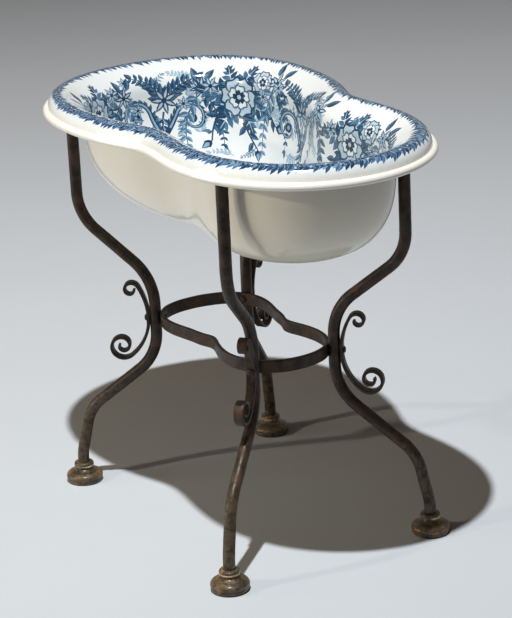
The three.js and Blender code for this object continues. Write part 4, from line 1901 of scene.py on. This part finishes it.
    def overlay(self, rim: Sequence[Point]) -> tuple[np.ndarray, np.ndarray, np.ndarray]:
        """Lays every shape over those before it.

        A shape that spills far past its own outline in the cut is left out.

        Args:
            rim: outer edge of the drawing, clockwise.

        Returns:
            Corners, triangles, and the shape seen in each triangle: -1 outside the rim, 0 for bare
            glaze, or a shape's number from 1.
        """
        places = list(rim)
        loops = [list(range(len(rim) - 1, -1, -1))]
        for outline, _, _ in self.shapes:
            loops.append(list(range(len(places), len(places) + len(outline))))
            places += outline
        cut = delaunay_2d_cdt([Vector(p) for p in places], [], loops, 0, self.merge_distance, True)
        corners = np.array([tuple(p) for p in cut[0]])
        triangles = np.array(cut[2])
        under = cut[5]
        covered = np.zeros(len(loops))
        for triangle, numbers in zip(triangles, under):
            covered[list(numbers)] += abs(signed_area(corners[triangle]))
        areas = [signed_area(np.array(outline)) for outline, _, _ in self.shapes]
        spilt = {i for i, area in enumerate(areas, 1) if covered[i] > 3 * area + 5}
        seen = [max(n for n in numbers if n not in spilt) if 0 in numbers else -1 for numbers in under]
        return corners, triangles, np.array(seen)

    def seen_lines(self, triangles: np.ndarray, kinds: np.ndarray,
                   corners: np.ndarray) -> list[tuple[int, int]]:
        """Edges where the tone changes, without the points that only lie on a straight stretch.

        Args:
            triangles: the triangles of the overlay.
            kinds: tone number of each, -1 outside the rim.
            corners: the corners of the overlay.

        Returns:
            The edges, as pairs of corner numbers.
        """
        pairs = [triangles[:, [0, 1]], triangles[:, [1, 2]], triangles[:, [2, 0]]]
        sides = np.sort(np.concatenate(pairs), axis=1)
        owners = np.tile(kinds, 3)
        order = np.lexsort((sides[:, 1], sides[:, 0]))
        sides, owners = sides[order], owners[order]
        shared = (sides[1:] == sides[:-1]).all(axis=1)
        unlike = (owners[1:] != owners[:-1]) & (owners[1:] >= 0) & (owners[:-1] >= 0)
        linked: dict[int, set[int]] = {}
        for a, b in sides[1:][shared & unlike].tolist():
            linked.setdefault(a, set()).add(b)
            linked.setdefault(b, set()).add(a)
        for middle in sorted(linked):
            if len(linked[middle]) == 2 and self.is_straight(middle, linked, corners):
                a, b = linked[middle]
                linked[a].remove(middle)
                linked[b].remove(middle)
                linked[a].add(b)
                linked[b].add(a)
                linked[middle].clear()
        return sorted((a, b) for a in linked for b in linked[a] if a < b)

    def is_straight(self, middle: int, linked: dict[int, set[int]], corners: np.ndarray) -> bool:
        """Whether a corner with two neighbours lies on a straight stretch between them.

        Args:
            middle: the corner's number.
            linked: each corner's neighbours.
            corners: the corners.

        Returns:
            True where the corner can go and its neighbours aren't linked yet.
        """
        a, b = sorted(linked[middle])
        along = corners[b] - corners[a]
        aside = corners[middle] - corners[a]
        length = math.hypot(*along)
        share = float(along @ aside) / length ** 2
        off_line = abs(along[0] * aside[1] - along[1] * aside[0]) / length
        return off_line < self.straight_within and 0 < share < 1 and b not in linked[a]

    def cut_into_wall(self, columns: int) -> PrintedFace:
        """Cuts the drawing's lines into the basin's upper face.

        Args:
            columns: points on the outer edge, which the lower face joins.

        Returns:
            The upper face.
        """
        rim = [self.chart.flat(TAU * c / columns, 0.0) for c in range(columns)]
        corners, triangles, seen = self.overlay(rim)
        tones = [(0.0, 0.0)] + [(tone, border) for _, tone, border in self.shapes]
        palette = sorted(set(tones))
        kinds = np.array([palette.index(tones[n]) if n >= 0 else -1 for n in seen])
        lines = self.seen_lines(triangles, kinds, corners)
        flat, faces = self.cut_flat(rim, corners, lines)
        drawn = [(x, y, 0.0) for x, y in corners.tolist()]
        beneath = BVHTree.FromPolygons(drawn, triangles.tolist(), all_triangles=True)
        prints = []
        for face in faces:
            x, y = flat[list(face)].mean(axis=0)
            hit = beneath.ray_cast(Vector((x, y, 1.0)), Vector((0.0, 0.0, -1.0)))[2]
            prints.append(palette[max(kinds[hit], 0)] if hit is not None else (0.0, 0.0))
        points, normals = self.chart.lift(flat)
        log.info("print: %d shapes, %d lines, %d faces", len(self.shapes), len(lines), len(faces))
        run = self.chart.run_at(flat)
        haze = np.exp(-((run - self.haze_run) / self.haze_width) ** 4)
        past_skirt = np.clip((run - 1.0) / 8.0, 0, 1)
        return PrintedFace(points, faces, np.array(prints), normals, haze, past_skirt)

    def cut_flat(self, rim: list[Point], corners: np.ndarray,
                 lines: list[tuple[int, int]]) -> tuple[np.ndarray, list[tuple[int, ...]]]:
        """Cuts the flat sheet along the drawing's lines, with even points between them.

        Args:
            rim: outer edge of the drawing, clockwise.
            corners: corners of the drawing.
            lines: pairs of corner numbers.

        Returns:
            Places on the flat sheet, with the rim's first, and faces between them.
        """
        places = rim + self.even_points()
        used = sorted({end for line in lines for end in line})
        number = {old: len(places) + new for new, old in enumerate(used)}
        places += [tuple(corners[old]) for old in used]
        edges = [(number[a], number[b]) for a, b in lines]
        edge = list(range(len(rim) - 1, -1, -1))
        cut = delaunay_2d_cdt([Vector(p) for p in places], edges, [edge], 0, self.merge_distance, True)
        fresh = np.array([tuple(p) for p in cut[0]])
        on_rim = {old: new for new, olds in enumerate(cut[3]) for old in olds if old < len(rim)}
        first = [on_rim[c] for c in range(len(rim))]
        order = first + sorted(set(range(len(fresh))) - set(first))
        number = {old: new for new, old in enumerate(order)}
        faces = [tuple(number[v] for v in face) for face, inside in zip(cut[2], cut[5]) if inside]
        return fresh[order], faces

    def even_points(self) -> list[Point]:
        """Evenly spread points that keep the curved face smooth.

        Returns:
            Places on the flat sheet.
        """
        places = []
        for row, run in enumerate(self.grid_runs):
            shift = 0.5 * (row % 2)
            for c in range(self.grid_columns):
                places.append(self.chart.flat(TAU * (c + shift) / self.grid_columns, run))
        for step in range(1, self.bottom_rings):
            ring = 8 * step
            for c in range(ring):
                angle = TAU * c / ring
                edge = float(self.chart.between(self.chart.edge_reach, np.array([angle]))[0])
                reach = edge * step / self.bottom_rings
                places.append((reach * math.sin(angle), reach * math.cos(angle)))
        return places


# Iron stand

@dataclass
class Leg:
    """Where one leg meets the ring, the hoop and the floor."""

    corner: Corner
    out: Vector
    hoop_out: Vector
    waist: Vector
    top: Vector
    foot: Vector


@dataclass
class Stand:
    """The iron stand: four bent legs, a hoop under the rim, a ring at the waist, scrolls and feet."""

    rim: ViolinOutline
    ring: ViolinOutline = field(default_factory=lambda: ViolinOutline(240, 100.5, 1.3, -3.3, -4.8, 3.8, 8.2))
    gap: float = 0.3
    waist_height: float = 206.0
    crest_height: float = 465.0
    hoop_offset: float = -14 / 3
    hoop_height: float = 18.0
    hoop_bottom: float = 439.41
    leg_diameter: float = 12.4
    wax_and_rust: float = 0.35
    leg_top: float = 447.8
    leg_bottom: float = 12.3
    knee_drop: float = 146.0
    waist_rise: float = 46.0
    waist_fall: float = 45.0
    ankle_share: float = 0.87
    ankle_height: float = 91.0
    upright_height: float = 35.0
    outer_bend: float = 52.0
    inner_bend: float = 60.0
    strip: float = 4.0
    seat_width: float = 14.0
    broad_top: float = 33.0
    narrow_top: float = 35.0
    broad_leg: float = 29.5
    narrow_leg: float = 22.3
    foot_span_x: float = 249.0
    foot_span_y: float = 350.0
    ring_height: float = 14.0
    scroll_thickness: float = 3.6
    scroll_width: float = 10.4
    scroll_upper_back: float = 74.0
    scroll_lower_back: float = 57.0
    upper_curl: tuple[float, ...] = (149, -330, 9, 3.8)
    lower_curl: tuple[float, ...] = (232, 510, 15.3, 3.2)
    head_radius: float = 3.8
    head_height: float = 2.2
    shank_radius: float = 2.2
    hoop_rivet_drop: float = 4.8
    shift_y: float = 14.9
    legs: list[Leg] = field(default_factory=list)

    def __post_init__(self) -> None:
        """Lays out the four legs."""
        self.legs = [self.lay_out(corner) for corner in Corner]

    def angle_of(self, corner: Corner, broad: float, narrow: float) -> float:
        """Angle of a leg round an outline, from its angle off the long axis.

        Args:
            corner: the leg.
            broad: angle of the two legs at the broad end, in degrees.
            narrow: angle of the two at the narrow end.

        Returns:
            The angle.
        """
        side_x, side_y = corner.value
        turn = math.radians(broad if side_y > 0 else 180 - narrow)
        return turn if side_x > 0 else TAU - turn

    def lay_out(self, corner: Corner) -> Leg:
        """Places one leg against the ring and the hoop.

        Args:
            corner: the leg.

        Returns:
            Where it meets the ring, the hoop and the floor.
        """
        half = self.strip / 2
        radius = self.leg_diameter / 2
        at_waist = self.angle_of(corner, self.broad_leg, self.narrow_leg)
        at_top = self.angle_of(corner, self.broad_top, self.narrow_top)
        on_ring, out = self.ring.seat(at_waist, half, self.seat_width)
        on_hoop, hoop_out = self.rim.seat(at_top, self.hoop_offset - half, self.seat_width)
        waist = on_ring + out * (self.gap + radius)
        top = on_hoop - hoop_out * (self.gap + radius)
        waist.z = self.waist_height
        top.z = self.leg_top
        side_x, side_y = corner.value
        foot = Vector((side_x * self.foot_span_x / 2, side_y * self.foot_span_y / 2, 0.0))
        return Leg(corner, out, hoop_out, waist, top, foot)

    def leg_line(self, leg: Leg) -> np.ndarray:
        """Middle line of a leg, from the hoop to the socket in its foot.

        Args:
            leg: the leg.

        Returns:
            Rows of x, y and z.
        """
        def toward(target: Vector, share: float, height: float) -> Vector:
            """A place at a height, a share of the way from the waist in plan."""
            spot = leg.waist.lerp(target, share)
            return Vector((spot.x, spot.y, height))

        corners = [
            (leg.top, 0.0),
            (toward(leg.top, 1, self.crest_height - self.knee_drop), self.outer_bend),
            (toward(leg.top, 0, self.waist_height + self.waist_rise), self.inner_bend),
            (toward(leg.foot, 0, self.waist_height - self.waist_fall), self.inner_bend),
            (toward(leg.foot, self.ankle_share, self.ankle_height), self.outer_bend),
            (toward(leg.foot, 1, self.upright_height), self.inner_bend),
            (toward(leg.foot, 1, self.leg_bottom), 0.0),
        ]
        return even_steps(bent_run(corners, 24), 3.0)

    def line_mesh(self, line: np.ndarray, closed: bool, taper: np.ndarray | None = None) -> Mesh:
        """A mesh of edges along a line, with the taper that the sweeps read.

        Args:
            line: rows of x, y and z.
            closed: whether its end joins its start.
            taper: size of the profile at each point, or None for 1.

        Returns:
            The mesh.
        """
        count = len(line)
        edges = [(i, i + 1) for i in range(count - 1)] + ([(count - 1, 0)] if closed else [])
        mesh = mesh_from("line", line, [], edges)
        add_attribute(mesh, "taper", "FLOAT", "POINT", np.ones(count) if taper is None else taper)
        return mesh

    def make_legs(self, iron: Material) -> list[Object]:
        """The four bent bars.

        Args:
            iron: the finish.

        Returns:
            The bars, in the order of Corner.
        """
        forge = bar_tree()
        made = []
        for number, leg in enumerate(self.legs):
            line = self.leg_line(leg) + (0, self.shift_y, 0)
            values = {
                "Diameter": (self.leg_diameter + 2 * self.wax_and_rust) * MM, "Seed": 3.0 * number,
                "Hammer Depth": 0.0005, "Material": iron,
            }
            made.append(forge.apply(f"{leg.corner.label}_leg", self.line_mesh(line, False), values))
        return made

    def make_hoops(self, iron: Material) -> list[Object]:
        """The hoop under the rim and the ring at the waist.

        Args:
            iron: the finish.

        Returns:
            The hoop and the ring.
        """
        forge = strip_tree()
        made = []
        plans = (
            ("rim_hoop", self.rim, self.hoop_offset, self.hoop_bottom, self.hoop_height, 380),
            ("forged_ring", self.ring, 0.0, self.waist_height - self.ring_height / 2, self.ring_height, 240),
        )
        for name, outline, offset, bottom, height, count in plans:
            angle = np.arange(count) * TAU / count
            plan = outline.plan(angle, np.full(count, offset))
            line = np.column_stack([plan, np.full(count, bottom + height / 2)]) + (0, self.shift_y, 0)
            values = {
                "Thickness": self.strip * MM, "Width": height * MM, "Hammer Depth": 0.0006,
                "Hammer Marks": 60.0, "Seed": float(count), "Material": iron,
            }
            made.append(forge.apply(name, self.line_mesh(line, True), values))
        return made

    def scroll_line(self) -> list[Point]:
        """Middle line of a scroll: distance out from the leg, and height above its rivet.

        Returns:
            The points, from the upper curl's tip to the lower one's.
        """
        inner = self.leg_diameter / 2 + self.gap + self.scroll_thickness / 2
        half_seat = self.seat_width / 2

        def half(back: float, start: float, sweep: float, outer: float, tip: float, way: int) -> np.ndarray:
            """Upper or lower half of the scroll, from the leg.

            Args:
                back: radius of its back.
                start: where its curl begins, in degrees round the back.
                sweep: how far the curl winds, in degrees.
                outer: the curl's radius where it begins.
                tip: the curl's radius where it ends.
                way: 1 for the upper half, -1 for the lower.

            Returns:
                Rows of the distance out and the height.
            """
            flat = math.degrees(math.asin(half_seat / back))
            middle = (inner + back * math.cos(math.radians(flat)), 0.0)
            bow = arc(middle, back, 180 - way * flat, start, 18)
            reach = back - outer
            turn = math.radians(start)
            centre = np.array([middle[0] + reach * math.cos(turn), reach * math.sin(turn)])
            steps = round(abs(sweep) / 7)
            return join_runs(bow, np.array(curl_line(start, sweep, outer, tip, steps)) + centre)

        upper = half(self.scroll_upper_back, *self.upper_curl, 1)
        lower = half(self.scroll_lower_back, *self.lower_curl, -1)
        return [*upper[::-1].tolist(), *lower.tolist()]

    def make_scrolls(self, iron: Material) -> list[Object]:
        """The four scrolls. Each is swept lying level, then stood up against its leg.

        Args:
            iron: the finish.

        Returns:
            The scrolls, in the order of Corner.
        """
        forge = strip_tree()
        made = []
        flat_line = [Vector((x, y, 0.0)) for x, y in self.scroll_line()]
        line = even_steps(flat_line, 1.3)
        run = np.linspace(0, 1, len(line))
        taper = 1 - 0.22 * np.clip(1 - np.minimum(run, 1 - run) / 0.12, 0, 1)
        for number, leg in enumerate(self.legs):
            values = {
                "Thickness": self.scroll_thickness * MM, "Width": self.scroll_width * MM, "Edge": 0.0006,
                "Hammer Depth": 0.0004, "Seed": 20.0 + number, "Material": iron,
            }
            piece = forge.apply(f"{leg.corner.label}_scroll", self.line_mesh(line, False, taper), values)
            side = Vector((0, 0, 1)).cross(leg.out)
            stand_up = Matrix((leg.out, (0, 0, 1), -side)).transposed().to_4x4()
            place = Matrix.Translation((leg.waist + Vector((0, self.shift_y, 0))) * MM)
            piece.data.transform(place @ stand_up)
            made.append(piece)
        return made

    def rivet_head(self) -> Object:
        """A domed rivet head with a little of its shank below, dome toward +Z.

        Returns:
            The head, for the copies.
        """
        profile = [(self.shank_radius, -0.5), (self.shank_radius, 0.0), (self.head_radius * 0.96, 0.0)]
        profile += [
            (self.head_radius * math.cos(t) ** 0.9, 0.25 + (self.head_height - 0.25) * math.sin(t))
            for t in (math.pi / 2 * i / 6 for i in range(6))
        ]
        mesh = turned_mesh("rivet head", profile, 20, top=self.head_height, bottom=-0.5)
        return new_object("rivet_pattern", mesh)

    def make_rivets(self, iron: Material) -> Object:
        """Both heads of the eight rivets.

        Args:
            iron: the finish.

        Returns:
            All the heads as one piece.
        """
        places, aims = [], []
        radius = self.leg_diameter / 2
        rise = self.gap + 0.05
        for leg in self.legs:
            hoop_rivet = Vector((leg.top.x, leg.top.y, self.leg_top - self.hoop_rivet_drop))
            ends = (
                (leg.waist, leg.out, radius + self.gap + self.scroll_thickness + rise),
                (leg.waist, -leg.out, radius + self.gap + self.strip + rise),
                (hoop_rivet, leg.hoop_out, radius + self.gap + self.strip + rise),
                (hoop_rivet, -leg.hoop_out, radius + rise),
            )
            for centre, way, reach in ends:
                places.append(tuple(centre + way * reach + Vector((0, self.shift_y, 0))))
                aims.append(tuple(way))
        mesh = mesh_from("rivet places", np.array(places), [])
        add_attribute(mesh, "aim", "FLOAT_VECTOR", "POINT", np.array(aims))
        pattern = self.rivet_head()
        made = copies_tree().apply("rivets", mesh, {"Piece": pattern, "Seed": 4, "Material": iron})
        bpy.data.objects.remove(pattern)
        return made

    def foot_profile(self) -> tuple[list[Point], list[float]]:
        """Half section of a foot from the floor to its socket, and how much tan each point shows, partly
        rubbed wear and partly a painted highlight.

        Returns:
            Radius and height of each point, and its wear from 0 to 1.
        """
        rows = [
            *((x, z, 0.0) for x, z in corner_curve((17.0, 0.0), (20.3, 0.4), (20.5, 3.6), 7).tolist()),
            (20.35, 4.3, 0.0), (20.1, 4.8, 0.0), (20.15, 5.3, 0.0), (20.7, 5.8, 0.0),
            *((x, z, 0.05) for x, z in corner_curve((21.0, 6.4), (21.2, 10.8), (15.6, 12.7), 9).tolist()),
            *((x, z, 0.0) for x, z in corner_curve((15.6, 12.7), (10.8, 14.1), (9.2, 17.2), 7).tolist()),
            # The collar's outer edge takes the tan: partly rubbed wear, partly a painted highlight.
            *((x, z, 0.2) for x, z in arc((9.6, 19.6), 1.7, -90, -66, 3).tolist()),
            *((x, z, 1.0) for x, z in arc((9.6, 19.6), 1.7, -52, 20, 5).tolist()),
            *((x, z, 0.0) for x, z in corner_curve((11.2, 20.6), (11.2, 22.9), (9.6, 23.5), 5).tolist()),
            (8.6, 23.9, 0.1), (7.4, 24.0, 0.1), (6.55, 23.8, 0.0), (6.5, 20.0, 0.0), (6.5, 12.0, 0.0),
        ]
        return [(x, z) for x, z, _ in rows], [w for _, _, w in rows]

    def make_feet(self, iron: Material) -> Object:
        """The four cast feet, as copies of one casting.

        Args:
            iron: the finish.

        Returns:
            The feet as one piece.
        """
        profile, wear = self.foot_profile()
        casting = turned_mesh("foot casting", profile, 48, top=12.0, bottom=0.0, wear=wear)
        pattern = new_object("foot_pattern", casting)
        places = [tuple(leg.foot + Vector((0, self.shift_y, 0))) for leg in self.legs]
        mesh = mesh_from("foot places", np.array(places), [])
        add_attribute(mesh, "aim", "FLOAT_VECTOR", "POINT", np.tile((0.0, 0.0, 1.0), (4, 1)))
        values = {"Piece": pattern, "Seed": 9, "Size Spread": 0.0, "Material": iron}
        made = copies_tree().apply("feet", mesh, values)
        bpy.data.objects.remove(pattern)
        return made


def turned_mesh(name: str, profile: Sequence[Point], sides: int, top: float, bottom: float,
                wear: Sequence[float] | None = None) -> Mesh:
    """A closed turned shape about Z.

    Args:
        name: the mesh's name.
        profile: radius and height from the bottom to the top.
        sides: points round it.
        top: height of the middle of its top end.
        bottom: height of the middle of its bottom end.
        wear: how much tan each point of the profile shows, partly wear and partly a painted highlight.

    Returns:
        The mesh, smooth.
    """
    turn = np.arange(sides) * TAU / sides
    rings = [np.column_stack([r * np.cos(turn), r * np.sin(turn), np.full(sides, z)]) for r, z in profile]
    faces = []
    for row in range(len(profile) - 1):
        faces += join_ring(row * sides, (row + 1) * sides, sides)
    base = len(profile) * sides
    last = base - sides
    faces += [((c + 1) % sides, c, base) for c in range(sides)]
    faces += [(last + c, last + (c + 1) % sides, base + 1) for c in range(sides)]
    mesh = mesh_from(name, np.concatenate([*rings, [[0, 0, bottom], [0, 0, top]]]), faces)
    mesh.shade_smooth()
    if wear is not None:
        # How much tan each point takes: partly wear, partly a painted highlight.
        worn = np.concatenate([np.repeat(np.array(wear), sides), [0.0, 0.0]])
        add_attribute(mesh, "wear", "FLOAT", "POINT", worn)
    return mesh


# Studio

@dataclass
class Studio:
    """Pale floor, lamps and a camera at the photograph's angle."""

    lens_pixels: float = 2400.0
    camera_place: tuple[float, float, float] = (-1.16865, -2.16737, 1.10013)
    yaw: float = -0.497546
    pitch: float = 0.336999
    roll: float = -0.0474334
    key_place: tuple[float, float, float] = (-0.549, -0.731, 2.682)
    key_power: float = 320.0
    key_radius: float = 0.028
    key_colour: Colour = (1.0, 0.985, 0.97)
    side_place: tuple[float, float, float] = (-1.633, 0.235, 0.973)
    side_power: float = 29.0
    side_radius: float = 0.03
    side_colour: Colour = (1.0, 0.84, 0.62)
    panel_place: tuple[float, float, float] = (-3.3, 1.6, 0.30)
    panel_power: float = 39.0
    panel_width: float = 1.2
    panel_colour: Colour = (1.0, 0.95, 0.85)
    panel_aim: tuple[float, float, float] = (0.0, 0.0, 0.36)
    fill: Colour = (0.029, 0.0125, 0.004)
    mirrored: Colour = (0.27, 0.25, 0.21)
    backdrop: Colour = (0.60, 0.63, 0.65)

    def build(self, floor_paint: Material) -> None:
        """Sets up the whole studio.

        Args:
            floor_paint: the floor's finish.
        """
        self.floor(floor_paint)
        self.lamp("key lamp", self.key_place, self.key_power, self.key_radius, self.key_colour)
        self.lamp("side lamp", self.side_place, self.side_power, self.side_radius, self.side_colour)
        self.panel()
        self.world()
        self.camera()
        bpy.context.scene.view_settings.view_transform = "Standard"

    def floor(self, paint: Material) -> None:
        """A large plain floor.

        Args:
            paint: its finish.
        """
        half = 14000.0
        corners = np.array([(-half, -half, 0), (half, -half, 0), (half, half, 0), (-half, half, 0)])
        mesh = mesh_from("floor", corners, [(0, 1, 2, 3)])
        mesh.materials.append(paint)
        new_object("floor", mesh)

    def lamp(self, name: str, place: Sequence[float], power: float, radius: float, colour: Colour) -> None:
        """A small round lamp.

        Args:
            name: its name.
            place: where it hangs, in metres.
            power: its power in watts.
            radius: its radius in metres.
            colour: colour of its light.
        """
        light = bpy.data.lights.new(name, "POINT")
        light.energy = power
        light.shadow_soft_size = radius
        light.color = colour
        new_object(name, light).location = place

    def panel(self) -> None:
        """A soft panel low on the left, which lights the side of the bowl."""
        light = bpy.data.lights.new("panel", "AREA")
        light.energy = self.panel_power
        light.size = self.panel_width
        light.color = self.panel_colour
        aim = Vector(self.panel_aim) - Vector(self.panel_place)
        turned = aim.to_track_quat("-Z", "Y").to_matrix().to_4x4()
        new_object("panel", light).matrix_world = Matrix.Translation(self.panel_place) @ turned

    def world(self) -> None:
        """Faint warm fill light from all round, a dim room in mirrorings and a pale backdrop."""
        world = bpy.data.worlds.new("studio")
        bpy.context.scene.world = world
        world.use_nodes = True
        sheet = NodeSheet(world.node_tree)
        background = world.node_tree.nodes["Background"]
        path = sheet.add("ShaderNodeLightPath").outputs
        room = sheet.mix(path["Is Glossy Ray"], rgba(self.fill), rgba(self.mirrored))
        seen = sheet.math("MAXIMUM", path["Is Camera Ray"], path["Is Transmission Ray"])
        sheet.feed(background.inputs["Color"], sheet.mix(seen, room, rgba(self.backdrop)))

    def camera(self) -> None:
        """The camera, with the photograph's angle and framing."""
        yaw, pitch, roll = self.yaw, self.pitch, self.roll
        look = Vector((-math.sin(yaw) * math.cos(pitch), math.cos(yaw) * math.cos(pitch), -math.sin(pitch)))
        level = Vector((math.cos(yaw), math.sin(yaw), 0.0))
        upright = level.cross(look)
        right = level * math.cos(roll) + upright * math.sin(roll)
        up = upright * math.cos(roll) - level * math.sin(roll)
        lens = bpy.data.cameras.new("camera")
        lens.sensor_width = 36.0
        lens.lens = self.lens_pixels / max(PHOTO_WIDTH, PHOTO_HEIGHT) * lens.sensor_width
        lens.clip_end = 60.0
        camera = new_object("camera", lens)
        turned = Matrix((right, up, -look)).transposed().to_4x4()
        camera.matrix_world = Matrix.Translation(self.camera_place) @ turned
        bpy.context.scene.camera = camera


def hand_over(piece: Object, body: str, nodes: Sequence[str]) -> None:
    """Joins a finished piece to the frame.

    Args:
        piece: the piece.
        body: the body that it rides on.
        nodes: the nodes that it stands for.
    """
    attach(piece, body)
    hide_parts(*nodes)
    log.info("%s: %d points, %d faces", piece.name, len(piece.data.vertices), len(piece.data.polygons))


def main() -> None:
    """Builds every piece round the frame."""
    logging.basicConfig(level=logging.INFO, format="%(name)s: %(message)s")
    effects = SurfaceEffects()
    glaze = Glaze(effects).material()
    wrought = WroughtIron(effects).material()
    cast = CastIron(effects).material()
    Studio().build(StudioFloor(effects).material())

    basin = Basin()
    hand_over(basin.build(glaze), "basin", ["basin"])

    stand = Stand(basin.rim)
    for piece, corner in zip(stand.make_legs(wrought), Corner):
        hand_over(piece, "stand", [f"leg_{corner.label}"])
    for piece, node in zip(stand.make_hoops(wrought), ("top_hoop", "waist_ring")):
        hand_over(piece, "stand", [node])
    for piece, corner in zip(stand.make_scrolls(wrought), Corner):
        hand_over(piece, "stand", [f"scroll_{corner.label}"])
    rivet_nodes = [f"{kind}_rivet_{corner.label}" for kind in ("waist", "hoop") for corner in Corner]
    hand_over(stand.make_rivets(wrought), "stand", rivet_nodes)
    hand_over(stand.make_feet(cast), "stand", [f"foot_{corner.label}" for corner in Corner])


if __name__ == "__main__":
    main()
